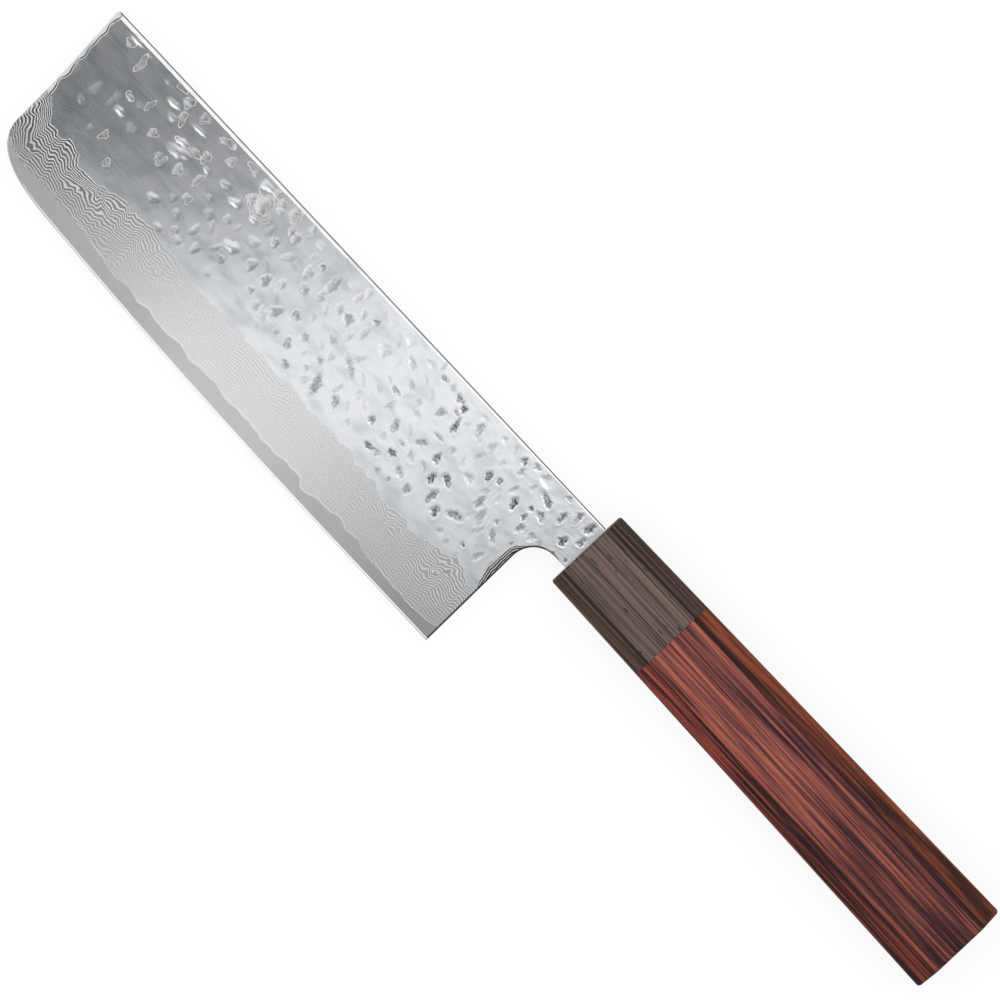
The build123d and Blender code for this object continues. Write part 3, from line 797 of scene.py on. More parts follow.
# %% [markdown]
# ## One sheet of cladding
#
# The cladding could be cut from a solid, but its skin has to carry hundreds of small curves. So it starts
# as a flat grid from one operator, and the grid is stretched over the blade: its lower border follows the
# weld line, the back of the heel, the choil and the neck, and its upper border follows the spine. Its
# heights come next. Then the border is extruded down to the core, and one face closes the underside. Most
# columns stand on the weld line, and the rows lie closest at the weld line and at the spine.

# %% Borders of the sheet
spine_at_heel_corner = 139.0
spine_at_choil_foot = 160.5
spine_at_choil_top = 170.5
weld_rows_end = 0.018
spine_rows_start = 0.965
weld_rows, face_rows, spine_rows = 6, 112, 13
weld_columns, heel_columns, choil_columns, neck_columns = 480, 78, 34, 12
tang_stations = [
    (177.5, neck_bottom_y, 177.5, blade_height), (180.5, neck_bottom_y, 180.5, blade_height),
    (183.0, 39.6, 183.0, 48.6), (210.0, 40.2, 210.0, 48.0),
    (258.0, 41.3, 258.0, 46.9), (260.4, 42.6, 260.4, 45.6),
]

heel_corner = weld_curve[-1]
back_line = np.array([heel_corner, (heel_back_x, neck_bottom_y - choil_radius)])
neck_line = np.array([choil_curve[-1], (ferrule_x, neck_bottom_y)])
lower_runs = [(weld_curve, weld_columns), (back_line, heel_columns),
              (choil_curve, choil_columns), (neck_line, neck_columns)]
spine_stops = [tip_centre[0] - tip_radius / math.sqrt(2), spine_at_heel_corner, spine_at_choil_foot,
               spine_at_choil_top, ferrule_x]
lower_border = [weld_curve[:1]]
upper_x = [np.array(spine_stops[:1])]
for (run, count), start, stop in zip(lower_runs, spine_stops, spine_stops[1:]):
    shares = np.linspace(0, 1, count + 1)[1:]
    lower_border.append(points_along(run, shares))
    upper_x.append(start + (stop - start) * shares)
lower_border.append(np.array([row[:2] for row in tang_stations]))
lower_border = np.concatenate(lower_border)
upper_x = np.concatenate(upper_x)
corner_rise = np.sqrt(np.clip(tip_radius**2 - np.clip(tip_centre[0] - upper_x, 0, None) ** 2, 0, None))
upper_border = np.column_stack((upper_x, tip_centre[1] + corner_rise))
upper_border = np.concatenate((upper_border, np.array([row[2:] for row in tang_stations])))
tip_half_corner = arc(tip_centre, tip_radius, 178, 135, 8)
front_border = np.concatenate((toe_part[::-1], front_curve, tip_half_corner))
rows = np.concatenate((
    np.linspace(0, weld_rows_end, weld_rows),
    np.linspace(weld_rows_end, spine_rows_start, face_rows)[1:],
    np.linspace(spine_rows_start, 1, spine_rows)[1:],
))
print(len(lower_border), "columns and", len(rows), "rows")

# %% [markdown]
# The grid's own numbering gives each point its column and row. A straight line joins the two borders in each
# column, and near the front that line bends over to the curved front of the blade.

# %% Stretch the grid over the blade
front_reach = 18.0


def sheet_places(column, row):
    """Where a grid point lies in the side view of the blade."""
    share = rows[row][:, None]
    place = lower_border[column] * (1 - share) + upper_border[column] * share
    straight_front = lower_border[0] * (1 - share) + upper_border[0] * share
    curved_front = points_along(front_border, rows)[row]
    travelled = np.hypot(*(lower_border[column] - lower_border[0]).T)
    bend = np.clip(1 - travelled / front_reach, 0, 1)[:, None] ** 2
    return place + bend * (curved_front - straight_front)


print("grid places ready, the front bends the columns up to", front_reach, "mm from it")

# %% [markdown]
# The outer skin is the lowest of the planes at each point, less the hammer marks. Besides its height, each
# point carries what the materials need to know there: how many layers the grind has cut, how far into a mark
# the point lies, how near it is to the weld line, and so on.

# %% Sizes of the skin
layer_period = 0.0215
core_half_thickness = 0.31
least_wall = 0.08
slow_wave_height = 0.018
quick_wave_height = 0.007
quick_wave_heel_height = 0.010
quick_wave_from_x = 50
quick_wave_over = 60
slow_waves_per_mm = (0.16, 0.22)
quick_waves_per_mm = (0.38, 0.5)
shoulder_reach = 1.5
shoulder_rise = 0.008
shoulder_softness = 0.02
spine_band_at_tip = 1.2
spine_band_narrows = 0.7
spine_slope_eases = 0.2
tang_thins = 0.2
skin_softness = 0.12
spine_skin_width = 0.34
notch_skin_width = 0.5
neck_skin_width = 0.28
neck_skin_from_y = neck_bottom_y - 0.3
turn_up_slope = 0.022
turn_up_reach = 6.5
turn_up_top_y = 32
turn_up_fade = 9
front_line_slope = 0.034
front_line_reach = 1.5
front_line_waver = 0.9
front_line_wavers_per_mm = 0.33
front_line_most = 1.25
layers_lost_per_mm = 0.00062
layers_lost_from_x = 30
layers_lost_over = 130
layers_finer_at_heel = 0.2
band_softness = 0.02
weld_seen_to = 2
print("a new layer every", layer_period, "mm of depth")

# %% [markdown]
# Forging leaves slow waves in the flat. The grind below its shoulder has none, and no hammer marks either.

# %% Height of the skin
def soft_waves(x, y, seed):
    """Slow waves in the flat, and quicker ones that grow towards the heel."""
    slow, quick = [noise_at(x * along, y * up, start) for along, up, start in
                   ((*slow_waves_per_mm, seed), (*quick_waves_per_mm, seed + 9))]
    heel = share_of(x - quick_wave_from_x, quick_wave_over)
    return slow_wave_height * slow + (quick_wave_height + quick_wave_heel_height * heel) * quick


def on_flat(y):
    """1 on the hammered flat, 0 on the grind below its shoulder."""
    return share_of(y - shoulder_y + shoulder_reach, 2 * shoulder_reach)


def skin_height(x, y, sunk, seed):
    """Height of the outer skin: the lowest plane, its rounded shoulder, the spine, the heel and the tang."""
    ground, front, choil = plane_depths(x, y)
    flat = flat_height(x, y)
    height = flat - sunk + soft_waves(x, y, seed) * on_flat(y)
    height = soft_lower(height, flat - ground + shoulder_rise, shoulder_softness)
    for depth in (front, choil):
        height = np.minimum(height, flat - depth)
    spine_in = blade_height - spine_band_at_tip + spine_band_narrows * x / ferrule_x
    spine_slope = spine_band_slope - spine_slope_eases * share_of(x, ferrule_x)
    height = np.minimum(height, flat - spine_slope * (y - spine_in))
    height -= back_edge_slope * np.clip(back_edge_break - back_distance(x, y), 0, back_edge_break)
    height -= np.clip(x - ferrule_x, 0, None) * tang_thins / (tang_end_x - ferrule_x)
    return np.minimum(height, spine_half_thickness)


print("walls go down to", core_half_thickness, "mm and are at least", least_wall, "mm high")

# %% [markdown]
# The front of the blade is polished at a slant, which lays a few layers open as lines beside it. Near the toe
# the layers themselves turn up a little, as they do where a blank has been drawn out to its end.

# %% What the materials read
def front_layers(x, y, seed):
    """The layers at the front: how far they turn up towards the tip, and the lines that its band shows."""
    from_front = front_distance(x, y)
    turned_up = turn_up_slope * np.clip(turn_up_reach - from_front, 0, None)
    turned_up = turned_up * share_of(turn_up_top_y - y, turn_up_fade)
    waves = noise_at(4.2, y * front_line_wavers_per_mm, seed)
    lines = front_line_slope * (front_line_reach + front_line_waver * waves - from_front)
    return turned_up, np.minimum(lines, front_line_most * layer_period)


def forge_skin_left(x, y):
    """Where dark forging skin is left: a thin line under the spine, and along the notch and the neck."""
    left = share_of(y - blade_height + spine_skin_width, skin_softness)
    width = np.where(y < neck_skin_from_y, notch_skin_width, neck_skin_width)
    left = np.maximum(left, share_of(width - back_distance(x, y), skin_softness))
    return left * (x < ferrule_x)


def sheet_heights(x, y, marks, loops, seed):
    """Height of the outer skin, with what the materials read at each point."""
    sunk, bowl, skin = hammered(x, y, marks)
    ground, _, choil = plane_depths(x, y)
    turned_up, front_lines = front_layers(x, y, seed)
    lost = layers_lost_per_mm * np.clip(x - layers_lost_from_x, 0, layers_lost_over)
    above_weld = y - np.interp(x, weld_x, weld_y)
    carried = {
        "layers": (ground + turned_up - lost) * (1 + layers_finer_at_heel * x / blade_length),
        "ends": np.maximum(front_lines, choil),
        "bowl": bowl * on_flat(y),
        "skin": skin,
        "band": share_of(choil, band_softness),
        "loops": contours(x, y, loops) * on_flat(y),
        "edge_skin": forge_skin_left(x, y),
        "weld": np.where(x > weld_x[0] + 1, np.clip(above_weld, 0, weld_seen_to), weld_seen_to),
    }
    return skin_height(x, y, sunk * on_flat(y), seed), carried


print("the weld line is followed up to", weld_seen_to, "mm above it")

# %% [markdown]
# One sheet is now made for each face. The grid takes the places and heights, and its border goes down to the
# core as a wall. The wall's top edge stays sharp, while the skin itself is shaded smooth.

# %% Make a cladding
def cladding(name, node, side, marks, loops, seed):
    """One cladding, on the left face where side is 1 and on the right face where it is -1."""
    columns = len(lower_border)
    form = bmesh.new()
    bmesh.ops.create_grid(form, x_segments=columns - 1, y_segments=len(rows) - 1, size=0.5)
    grid = np.array([v.co for v in form.verts])
    column = np.rint((grid[:, 0] + 0.5) * (columns - 1)).astype(int)
    row = np.rint((grid[:, 1] + 0.5) * (len(rows) - 1)).astype(int)
    place = sheet_places(column, row)
    x, y = place[:, 0], place[:, 1]
    height, carried = sheet_heights(x, y, marks, loops, seed)
    for face in form.faces:
        face.smooth = True
    stores = {key: form.verts.layers.float.new(key) for key in carried}
    for i, vert in enumerate(form.verts):
        vert.co = (x[i], y[i], height[i])
        for key, store in stores.items():
            vert[store] = carried[key][i]
    rim = [edge for edge in form.edges if edge.is_boundary]
    walls = bmesh.ops.extrude_edge_only(form, edges=rim)["geom"]
    for vert in only(walls, bmesh.types.BMVert):
        vert.co.z = min(core_half_thickness, vert.co.z - least_wall)
    under = [edge for edge in only(walls, bmesh.types.BMEdge) if edge.is_boundary]
    bmesh.ops.edgeloop_fill(form, edges=under)
    for edge in rim:
        edge.smooth = False
    form.transform(to_frame @ Matrix.Diagonal((1, 1, side, 1)))
    bmesh.ops.recalc_face_normals(form, faces=form.faces)
    piece = into_scene(name, form)
    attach(piece, "root")
    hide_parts(node)
    print(name, len(piece.data.vertices), "points,", len(piece.data.polygons), "faces")
    return piece


print("cladding maker ready")

# %% [markdown]
# The right face is hammered by the same hand. Its marks are the left ones taken from a later start, so that
# no hollow lies back to back with its copy.

# %% Left and right cladding
right_start = 0.43
right_first_share = 0.03
right_last_share = 0.985


def moved_on(marks):
    """The same marks from a later start along the blade."""
    later = [(mark[0] / ferrule_x + right_start) % 1 for mark in marks]
    return [(share * ferrule_x, *mark[1:]) for share, mark in zip(later, marks)
            if right_first_share < share < right_last_share]


left_cladding = cladding("left_cladding_skin", "left_cladding", side=1,
                         marks=hammer_marks, loops=contour_marks, seed=0.0)
right_cladding = cladding("right_cladding_skin", "right_cladding", side=-1,
                          marks=moved_on(hammer_marks), loops=moved_on(contour_marks), seed=40.0)

# %% [markdown]
# ## Finish of the cladding
#
# The cladding is two steels folded into many thin layers. The grind cuts through them at a slant, so each
# layer comes to the surface as a line, as contour lines cross a map. The stripes are therefore a function of
# the depth that the grind has reached, bent by three noises from slow to fine. Etching brings them out most
# towards the tip and a little at the heel; the middle is calmer and nearly plain.

# %% Cladding finish: layers
slow_bend = 0.28
bend = 0.17
fine_bend = 0.027
calm_bends = 0.45
calm_stripes = 0.4
heel_etching = 0.38
stripe_base = 0.22

steel, tree, shader = new_finish("layered_steel")
shader.inputs["Metallic"].default_value = 1.0
on_mesh = ("layers", "ends", "bowl", "skin", "band", "loops", "edge_skin", "weld")
depth, ends, bowl, skin, band, loops, edge_skin, weld = [surface_value(tree, key) for key in on_mesh]

along_blade = object_place(tree)["X"]
tip_etched = along_knife(tree, along_blade, 78, 8)
heel_etched = along_knife(tree, along_blade, 105, 140)
etched = plus(tree, tip_etched, times(tree, heel_etched, heel_etching))
lively = mix_values(tree, math_node(tree, "MAXIMUM", tip_etched, heel_etched), calm_bends, 1.0)

bends = plus(tree,
             centred(tree, noise_value(tree, (62, 36, 0), detail=1.0), slow_bend),
             centred(tree, noise_value(tree, (185, 100, 0), detail=1.0, distortion=0.85), bend))
calm = share_between(tree, depth, 0.08, 0.36)
bends = times(tree, times(tree, bends, lively), mix_values(tree, calm, 1.0, calm_bends))
bends = plus(tree, bends, centred(tree, noise_value(tree, (430, 190, 0)), fine_bend))
bent_depth = math_node(tree, "MAXIMUM", plus(tree, depth, bends), ends)
stripe = share_between(tree, swinging(tree, bent_depth, layer_period), -0.15, 0.70)
opened = share_between(tree, bent_depth, 0.0, 0.008)
patches = noise_value(tree, (60, 160, 0), detail=1.0)
stripe_strength = mix_values(tree, share_between(tree, patches, 0.25, 0.55), 0.6, 1.05)
stripe_strength = times(tree, stripe_strength, mix_values(tree, calm, 1.0, calm_stripes))
stripe = mix_values(tree, stripe_strength, stripe_base, stripe)
print("layers show every", layer_period, "mm of depth")

# %% [markdown]
# On the flats the wheel leaves very fine lines along the blade and soft clouds. A hollow that it didn't
# reach keeps its forging skin, black with grey specks and ragged at the border. Where a hollow cuts through
# the outer layers, a light ring shows each of them.

# %% Cladding finish: flats, marks and rings
brushing = noise_value(tree, (14, 1500, 0), detail=3.0, roughness=0.6)
speckle = noise_value(tree, (1450, 1450, 0), detail=2.0, roughness=0.7)
clouds = noise_value(tree, (120, 270, 0), detail=2.0)
raggedness = 1.5
middle_skin = 0.72
ragged_bowl = plus(tree, bowl, centred(tree, speckle, raggedness))
in_bowl = share_between(tree, ragged_bowl, 0.0, 0.92)
heel_skin = along_knife(tree, along_blade, 108, 128)
dark = times(tree, times(tree, in_bowl, skin), mix_values(tree, heel_skin, middle_skin, 1.0))
grain = share_between(tree, speckle, 0.55, 0.44)
ring = share_between(tree, swinging(tree, loops, 1), 0.78, 0.99)
ring = times(tree, ring, share_between(tree, loops, 0.02, 0.08))
print("marks rougher by a speckle of strength", raggedness)

# %% [markdown]
# The colours go on from the widest to the narrowest: the flats, the layers, the rings, the striped bands at
# the front and round the choil, the skin in the hollows and along the edges, and last the weld line, which
# has a light line just above it and, in places, a brownish painted shadow right on it.

# %% Cladding finish: colours
polished = (0.79, 0.805, 0.825, 1)
polished_dull = (0.64, 0.665, 0.70, 1)
plain_smooth = (0.705, 0.71, 0.712, 1)
plain_rough = (0.81, 0.805, 0.797, 1)
etched_smooth = (0.33, 0.34, 0.35, 1)
etched_rough = (1.0, 0.995, 0.975, 1)
skin_black = (0.09, 0.092, 0.097, 1)
skin_grey = (0.47, 0.475, 0.49, 1)
forge_skin = (0.07, 0.062, 0.056, 1)
ring_white = (0.95, 0.94, 0.92, 1)
band_black = (0.012, 0.012, 0.013, 1)
band_grey = (0.72, 0.72, 0.72, 1)
weld_white = (0.98, 0.97, 0.95, 1)
weld_shadow_brown = (0.30, 0.22, 0.17, 1)
weld_light_strength = 0.55
weld_shadow_strength = 0.8

flat_colour = mix_colours(tree, share_between(tree, clouds, 0.42, 0.72), polished, polished_dull)
smooth_colour = mix_colours(tree, etched, plain_smooth, etched_smooth)
rough_colour = mix_colours(tree, etched, plain_rough, etched_rough)
pattern_colour = mix_colours(tree, stripe, smooth_colour, rough_colour)
colour = mix_colours(tree, opened, flat_colour, pattern_colour)
colour = mix_colours(tree, ring, colour, ring_white)
band_bend = centred(tree, noise_value(tree, (420, 190, 0)), 0.02)
band_wave = swinging(tree, plus(tree, ends, band_bend), layer_period)
band_stripe = share_between(tree, band_wave, -0.10, 0.45)
colour = mix_colours(tree, band, colour, mix_colours(tree, band_stripe, band_black, band_grey))
colour = mix_colours(tree, dark, colour, mix_colours(tree, grain, skin_black, skin_grey))
colour = mix_colours(tree, edge_skin, colour, forge_skin)

weld_patches = noise_value(tree, (75, 20, 0), detail=1.0)
weld_light = window(tree, weld, 0.28, 0.52, 0.12)
weld_light = times(tree, weld_light, share_between(tree, weld_patches, 0.30, 0.50))
# Painted shadow: a brownish line right on the weld line, in patches.
weld_shadow = share_between(tree, weld, 0.26, 0.08)
weld_shadow = times(tree, weld_shadow, share_between(tree, weld_patches, 0.55, 0.66))
weld_shadow = times(tree, weld_shadow, along_knife(tree, along_blade, 35, 55))
colour = mix_colours(tree, times(tree, weld_light, weld_light_strength), colour, weld_white)
colour = mix_colours(tree, times(tree, weld_shadow, weld_shadow_strength), colour, weld_shadow_brown)
put(tree, shader.inputs["Base Color"], colour)
print("cladding coloured, with a weld line in patches")

# %% [markdown]
# One steel of the layers takes a smooth polish and the other stays rough, so that the pattern shows strongly
# where the blade mirrors something dark. The flats are smoothest. The relief is only the brushing and the
# specks: every shape that is large enough to see is in the mesh.

# %% Cladding finish: roughness and relief
roughness = mix_values(tree, brushing, 0.17, 0.25)
worn_bowl = times(tree, share_between(tree, bowl, 0.02, 0.9), share_between(tree, skin, 0.45, 0.05))
roughness = mix_values(tree, worn_bowl, roughness, 0.245)
rough_layers = mix_values(tree, etched, 0.50, 0.78)
roughness = mix_values(tree, opened, roughness, mix_values(tree, stripe, 0.17, rough_layers))
for share, level in ((ring, 0.7), (band, 0.4), (dark, 0.5), (edge_skin, 0.5)):
    roughness = mix_values(tree, share, roughness, level)
put(tree, shader.inputs["Roughness"], roughness)

height = plus(tree, times(tree, brushing, 0.25), times(tree, speckle, dark))
put(tree, shader.inputs["Normal"], relief(tree, height, 0.00001))
for piece in (left_cladding, right_cladding):
    piece.data.materials.append(steel)
    print(piece.name, "has", steel.name)

# %% [markdown]
# ## Finish of the hard core
#
# The core shows only as a strip above the cutting edge. It is one plain steel, whetted to an even satin with
# very fine lines along the blade, so it is a little darker and duller than the polished flats. Its middle
# is painted lighter, as painted light for the bright reflection that the middle of the blade shows, and
# towards the heel it is darker. The cut at the back of the heel keeps the dark skin, as the cladding beside
# it does.

# %% Core finish
satin_dark = (0.52, 0.52, 0.515, 1)
satin_light = (0.62, 0.62, 0.615, 1)
# The lightest satin is painted light, laid over the middle of the strip.
satin_painted_light = (0.80, 0.80, 0.79, 1)
satin_darker = (0.34, 0.34, 0.34, 1)
painted_light_from, painted_light_to, painted_light_soft = 0.066, 0.112, 0.014
skin_start, skin_end = 0.0005, 0.00035

core, tree, shader = new_finish("core_satin")
shader.inputs["Metallic"].default_value = 1.0
lines = noise_value(tree, (25, 2200, 400), detail=3.0, roughness=0.65)
clouds = noise_value(tree, (70, 260, 0), detail=2.0)
tone = mix_values(tree, 0.5, lines, clouds)
satin = mix_colours(tree, tone, satin_dark, satin_light)
place = object_place(tree)
# Painted light: a lighter window in the middle of the strip, standing in for the bright reflection there.
painted_light = window(tree, place["X"], zero_point.x + painted_light_from, zero_point.x + painted_light_to, painted_light_soft)
satin = mix_colours(tree, times(tree, painted_light, 0.5), satin, satin_painted_light)
heel_satin = along_knife(tree, place["X"], 128, 156)
satin = mix_colours(tree, times(tree, heel_satin, 0.5), satin, satin_darker)
heel_x = zero_point.x + (heel_back_x + heel_lean * heel_lean_from_y) * mm + heel_lean * zero_point.y
from_heel = plus(tree, place["X"], times(tree, place["Y"], heel_lean))
heel_skin = share_between(tree, from_heel, heel_x - skin_start, heel_x - skin_end)
put(tree, shader.inputs["Base Color"], mix_colours(tree, heel_skin, satin, forge_skin))
put(tree, shader.inputs["Roughness"], mix_values(tree, tone, 0.36, 0.50))
put(tree, shader.inputs["Normal"], relief(tree, lines, 0.000004))


def refinish(node, finish):
    """Give a node of the CAD model a finish instead of its plain colour."""
    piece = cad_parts[node]
    piece.data.materials.clear()
    piece.data.materials.append(finish)


refinish("core_steel", core)
print("core finished")

# %% [markdown]
# ## Handle body
#
# The body is an octagon that grows towards the butt, and the cuts at its corners grow with it. It is measured
# at a few stations. The last of them are small steps inwards, which round the rim of the butt.

# %% Stations of the handle body
joint_x = 206.2
butt_x = 310.4
handle_y = 44.1
butt_drop = 0.5
mouth_section = (23.2, 19.0, 4.15)
butt_section = (27.1, 21.5, 5.6)
rim_radius = 1.0
rim_steps = 5
rim_reach_share = 0.98
dome_rise = 0.65
dome_rings = (0.82, 0.75, 0.66, 0.5)
arris_width = 0.4
joint_break = 0.06
station_apart = 35
long_facet_area = 60


def section_place(direction, x, inset):
    """The octagon's corner that a direction points at."""
    share = (x - ferrule_x) / (butt_x - ferrule_x)
    high, wide, cut = [a + (b - a) * share for a, b in zip(mouth_section, butt_section)]
    high, wide = high / 2 - inset, wide / 2 - inset
    cut -= inset * (2 - math.sqrt(2))
    up, out = math.copysign(1, direction.y), math.copysign(1, direction.z)
    steep = abs(direction.y) > abs(direction.z)
    dy, dz = (high, wide - cut) if steep else (high - cut, wide)
    return Vector((x, handle_y - butt_drop * share + up * dy, out * dz))


def axis_at(x):
    """Middle of the handle at x."""
    return Vector((x, handle_y - butt_drop * (x - ferrule_x) / (butt_x - ferrule_x), 0))


dome_radius = (butt_section[0] / 2) ** 2 / (2 * dome_rise)
rim_start = butt_x - (butt_section[1] / 2) ** 2 / (2 * dome_radius) - rim_radius
stations = [(joint_x, joint_break), (joint_x + joint_break, 0),
            (joint_x + station_apart, 0), (joint_x + 2 * station_apart, 0)]
for step in range(rim_steps + 1):
    turn = math.radians(90 * step / rim_steps)
    forward = rim_radius * math.sin(turn) * rim_reach_share
    stations.append((rim_start + forward, rim_radius * (1 - math.cos(turn))))

print(len(stations), "stations up to x =", round(stations[-1][0], 2), "mm")

# %% [markdown]
# The body is carried along the stations: at each one the end face is extruded and set to the octagon of that
# place. Then one bevel eases the eight long edges, and the end face is drawn in, ring by ring, to a shallow
# dome.

# %% Handle body
form = bmesh.new()
corner = form.verts.layers.int.new("corner")
upright = Matrix.Rotation(math.radians(90), 4, "Y") @ Matrix.Rotation(math.radians(22.5), 4, "Z")
start = bmesh.ops.create_circle(form, cap_ends=True, segments=8, radius=1, matrix=upright)
for i, vert in enumerate(start["verts"]):
    vert[corner] = i + 1
directions = {vert[corner]: vert.co.copy() for vert in form.verts}
cap = form.faces[:]
for vert in form.verts:
    vert.co = section_place(directions[vert[corner]], *stations[0])


def grow(cap):
    """Extrude the end face: the new end face, and its points to be placed."""
    grown = bmesh.ops.extrude_face_region(form, geom=cap)["geom"]
    return only(grown, bmesh.types.BMFace), only(grown, bmesh.types.BMVert)


for station in stations[1:]:
    cap, points = grow(cap)
    for vert in points:
        vert.co = section_place(directions[vert[corner]], *station)
long_edges = [edge for edge in form.edges if edge.verts[0][corner] == edge.verts[1][corner]]
bmesh.ops.bevel(form, geom=long_edges, affect="EDGES", offset=arris_width, segments=3, profile=0.5,
                material=-1)
cap = [max(form.faces, key=lambda face: face.calc_center_median().x)]
middle = axis_at(butt_x)
for shrink in dome_rings:
    cap, points = grow(cap)
    for vert in points:
        out = (vert.co - middle) * shrink
        vert.co = middle + out
        vert.co.x = butt_x - (out.y**2 + out.z**2) / (2 * dome_radius)
bmesh.ops.remove_doubles(form, verts=form.verts, dist=0.001)
bmesh.ops.recalc_face_normals(form, faces=form.faces)
long_facets = [face for face in form.faces if face.calc_area() > long_facet_area]
for face in form.faces:
    face.smooth = face not in long_facets
form.transform(to_frame)
handle_body = into_scene("handle_body_wood", form)
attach(handle_body, "root")
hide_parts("handle_body")
print("handle body", len(handle_body.data.vertices), "points,", len(handle_body.data.polygons), "faces")

# %% [markdown]
# ## Red wood of the body
#
# The body is cut from a dense red wood with purple-brown streaks. Four noises drawn out along the grain, from
# broad to hair fine, make the streaks; all are tilted by 40 degrees about the handle, so that each facet
# cuts them at its own slant. The upper slanted facet is more orange. The lower one is a deeper red and also
# shows fine, nearly even growth lines. Both slanted facets are also painted darker than the upright face, as
# painted shade. The wood darkens a little towards the butt.

# %% Red wood helpers
arris_drop = 1.0
grain_roughness = 0.55
grain_distortion = 0.1
line_pushes = (14, 330, 200)


def streaks(tree, turn, along, across, deep, detail=1.0):
    """Noise drawn out along the grain: its runs per metre along, across the layers and in their plane."""
    return noise_value(tree, (along, across, deep), (turn, 0, 0), detail=detail,
                       roughness=grain_roughness, distortion=grain_distortion)


def growth_lines(tree, turn, spacing, waver):
    """Nearly even lines between -1 and 1, at a spacing in metres, pushed aside by a slow noise."""
    across = object_place(tree, (turn, 0, 0))["Y"]
    pushed = centred(tree, streaks(tree, turn, *line_pushes), waver)
    return math_node(tree, "SINE", plus(tree, times(tree, across, 2 * math.pi / spacing), pushed))


def tone_of(tree, level, *parts):
    """A level, plus each noise value that swings about nothing with its strength."""
    for value, strength in parts:
        level = plus(tree, level, centred(tree, value, strength))
    return level


def along_arris(tree):
    """A point's place, and its height above the lower arris, which the handle's taper tilts."""
    place = object_place(tree)
    lower_arris = zero_point.y + (handle_y - mouth_section[0] / 2 + mouth_section[2]) * mm
    mouth_x = zero_point.x + ferrule_x * mm
    tilt = arris_drop / (butt_x - ferrule_x)
    dropped = times(tree, less(tree, place["X"], mouth_x), tilt)
    above = less(tree, plus(tree, place["Y"], dropped), lower_arris)
    return place, above


print("streaks and growth lines ready")

# %% [markdown]
# The tone of a point is a level to which each noise adds its share. Thin painted lines follow the arrises: a
# painted highlight along the lower arris, and painted shade as dark lines just beyond each arris on the
# slants.

# %% Red wood: tone
upper_arris = zero_point.y + (handle_y + mouth_section[0] / 2 - mouth_section[2]) * mm
red_level = 0.518
joint_lightening = 0.07
# How much painted shade darkens the lower slant.
lower_painted_shade = 0.035
growth_strength = 0.13
# Strengths of the painted shade lines beside the arrises and of the painted highlight along the lower one.
arris_painted_shade = 0.16
arris_painted_highlight = 0.22

red_wood, tree, shader = new_finish("red_wood")
turn = math.radians(-40)
place, above = along_arris(tree)
broad = streaks(tree, turn, 15, 340, 120, 2.0)
middle = streaks(tree, turn, 30, 1500, 560)
fine = streaks(tree, turn, 42, 3000, 1700)
hair = streaks(tree, turn, 90, 4800, 2500)
upper = share_between(tree, place["Y"], upper_arris - 0.0002, upper_arris + 0.0006)
lower = share_between(tree, above, 0.0002, -0.0006)
towards_butt = along_knife(tree, place["X"], joint_x, butt_x)
tone = tone_of(tree, red_level, (broad, 0.95), (middle, 1.15), (fine, 0.9), (hair, 0.6))
tone = plus(tree, tone, times(tree, share_between(tree, towards_butt, 0.3, 0.0), joint_lightening))
# Painted shade: the lower slant is toned darker.
tone = less(tree, tone, times(tree, lower, lower_painted_shade))
lower_lines = times(tree, growth_lines(tree, turn, spacing=0.0012, waver=16.0), growth_strength)
tone = plus(tree, tone, times(tree, lower_lines, lower))
# Painted shade: dark lines just beyond each arris, on the slanted facets.
arris_shade_lines = plus(tree, window(tree, above, -0.0011, -0.0003, 0.0002),
                  window(tree, place["Y"], upper_arris, upper_arris + 0.0007, 0.0002))
tone = less(tree, tone, times(tree, arris_shade_lines, arris_painted_shade))
# Painted highlight: a lighter line along the lower arris.
tone = plus(tree, tone, times(tree, window(tree, above, -0.0001, 0.0004, 0.00015), arris_painted_highlight))
print("red wood toned about", red_level)

# %% [markdown]
# A ramp turns the tone into a colour: one for the upright and upper faces, one for the upper slant and one
# for the lower slant. The ramps of the slants are darker, as painted shade. Towards the butt a shade of black
# comes over them.

# %% Red wood: colour
butt_black = (0.012, 0.002, 0.003, 1)

colour = colour_ramp(tree, tone, [
    (0.20, (0.034, 0.012, 0.016)),
    (0.38, (0.084, 0.024, 0.027)),
    (0.50, (0.145, 0.040, 0.037)),
    (0.64, (0.235, 0.063, 0.049)),
    (0.82, (0.400, 0.110, 0.066)),
])
# The slants' ramps are darker than the upright face's: painted shade, over the wood's own orange and red.
orange_shaded = colour_ramp(tree, tone, [
    (0.24, (0.026, 0.008, 0.006)),
    (0.42, (0.066, 0.016, 0.010)),
    (0.54, (0.118, 0.027, 0.014)),
    (0.76, (0.240, 0.058, 0.024)),
])
red_shaded = colour_ramp(tree, tone, [
    (0.26, (0.016, 0.005, 0.006)),
    (0.44, (0.050, 0.013, 0.013)),
    (0.56, (0.130, 0.026, 0.021)),
    (0.76, (0.320, 0.060, 0.034)),
])
colour = mix_colours(tree, upper, colour, orange_shaded)
colour = mix_colours(tree, lower, colour, red_shaded)
shade = times(tree, towards_butt, mix_values(tree, upper, 0.42, 0.18))
colour = mix_colours(tree, shade, colour, butt_black)
put(tree, shader.inputs["Base Color"], colour)
shader.inputs["Specular IOR Level"].default_value = 0.14
put(tree, shader.inputs["Roughness"], mix_values(tree, fine, 0.30, 0.46))
put(tree, shader.inputs["Normal"], relief(tree, fine, 0.00004, 0.5))
handle_body.data.materials.append(red_wood)
print("red wood ready")

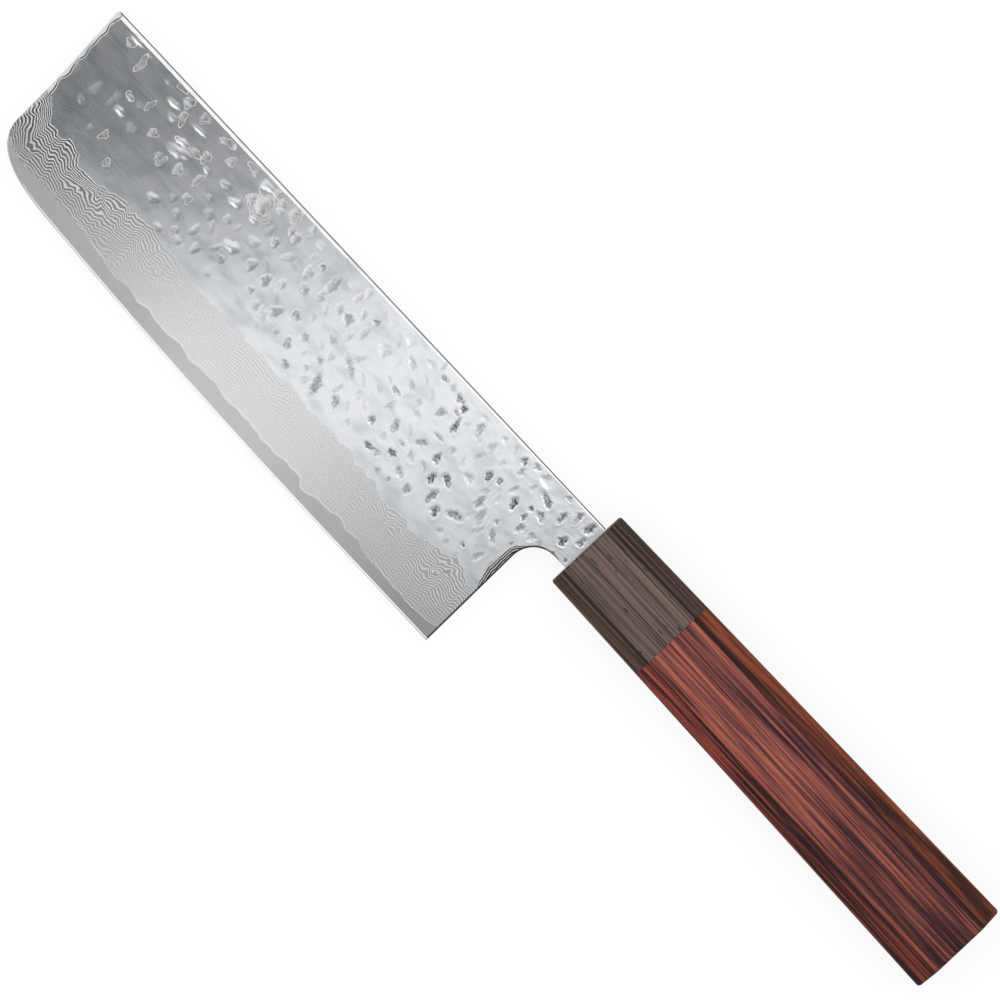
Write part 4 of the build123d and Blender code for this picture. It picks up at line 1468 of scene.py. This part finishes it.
# %% [markdown]
# ## Dark wood of the ferrule
#
# The ferrule is a blackish brown wood with straight, very fine pale and dark lines and short open pores. Its
# layers stand nearly upright, so the lines run along every facet. The slanted facets are painted darker, as
# painted shade, and a dark line of painted shade follows each arris.

# %% Dark wood
dark_level = 0.54
dark_growth_strength = 0.055
# Strength of the painted shade line beside each arris.
ferrule_arris_shade = 0.25
pore_black = (0.008, 0.005, 0.005, 1)
pore_strength = 0.85
pore_depth = 1.5

dark_wood, tree, shader = new_finish("dark_wood")
turn = math.radians(-12)
place, above = along_arris(tree)
broad = streaks(tree, turn, 10, 420, 260)
lines = streaks(tree, turn, 9, 1900, 900, 0.0)
fine = streaks(tree, turn, 24, 4300, 2600, 0.0)
even_lines = times(tree, growth_lines(tree, turn, spacing=0.00086, waver=10.0), dark_growth_strength)
pores = streaks(tree, turn, 330, 2000, 2000, 0.0)
pores = share_between(tree, pores, 0.765, 0.80)
slants = plus(tree, share_between(tree, place["Y"], upper_arris - 0.0002, upper_arris + 0.0004),
              share_between(tree, above, 0.0002, -0.0004))
tone = tone_of(tree, dark_level, (broad, 0.25), (lines, 0.55), (fine, 0.9))
tone = plus(tree, tone, even_lines)
# Painted shade: a dark line just beyond each arris.
ferrule_arris_shade_lines = plus(tree, window(tree, above, -0.0008, -0.0002, 0.00015),
                   window(tree, place["Y"], upper_arris + 0.0001, upper_arris + 0.0006, 0.00015))
tone = less(tree, tone, times(tree, ferrule_arris_shade_lines, ferrule_arris_shade))
colour = colour_ramp(tree, tone, [
    (0.20, (0.022, 0.016, 0.015)),
    (0.42, (0.060, 0.043, 0.040)),
    (0.58, (0.105, 0.070, 0.062)),
    (0.82, (0.175, 0.108, 0.088)),
])
# The slants' ramp is darker: painted shade on the slanted facets.
slant_shaded_colour = colour_ramp(tree, tone, [
    (0.25, (0.006, 0.004, 0.004)),
    (0.45, (0.018, 0.011, 0.009)),
    (0.60, (0.056, 0.032, 0.024)),
    (0.80, (0.125, 0.062, 0.038)),
])
colour = mix_colours(tree, slants, colour, slant_shaded_colour)
colour = mix_colours(tree, times(tree, pores, pore_strength), colour, pore_black)
put(tree, shader.inputs["Base Color"], colour)
shader.inputs["Specular IOR Level"].default_value = 0.25
put(tree, shader.inputs["Roughness"], mix_values(tree, fine, 0.36, 0.52))
grain_height = less(tree, fine, times(tree, pores, pore_depth))
put(tree, shader.inputs["Normal"], relief(tree, grain_height, 0.00005, 0.5))
refinish("ferrule", dark_wood)
print("dark wood ready")

# %% [markdown]
# ## Hidden pieces and the seal
#
# The dowel, the adhesive round the tang and the seal in the ferrule's mouth stay as the CAD model has them.
# They get plain finishes with a little life in them: a pale straight-grained wood, an amber resin and a
# blackish sealing compound.

# %% Dowel, adhesive and seal
def mottled(name, first, second, scale, roughness):
    """A finish of two near colours in soft clouds."""
    made, tree, shader = new_finish(name)
    clouds = noise_value(tree, scale, detail=3.0)
    put(tree, shader.inputs["Base Color"], mix_colours(tree, clouds, first, second))
    put(tree, shader.inputs["Normal"], relief(tree, clouds, 0.00003))
    shader.inputs["Roughness"].default_value = roughness
    return made


for node, name, first, second, scale, roughness in (
    ("joining_dowel", "dowel_wood", (0.42, 0.27, 0.14, 1), (0.60, 0.43, 0.25, 1), (60, 1800, 1800), 0.7),
    ("tang_bedding", "adhesive", (0.38, 0.30, 0.18, 1), (0.52, 0.44, 0.30, 1), (300, 300, 300), 0.5),
    ("mouth_seal", "seal", (0.012, 0.010, 0.009, 1), (0.03, 0.026, 0.022, 1), (900, 900, 900), 0.6),
):
    refinish(node, mottled(name, first, second, scale, roughness))
print("hidden pieces finished")

# %% [markdown]
# ## Size
#
# The dressed knife must be as large as the CAD model, no more. Both boxes are written down to be compared.

# %% Compare the sizes and finish
dressed_box = [list(corner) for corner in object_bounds()]
for corner, dressed_corner in zip(cad_box, dressed_box):
    print([round((b - a) / mm, 3) for a, b in zip(corner, dressed_corner)], "mm from the CAD box")
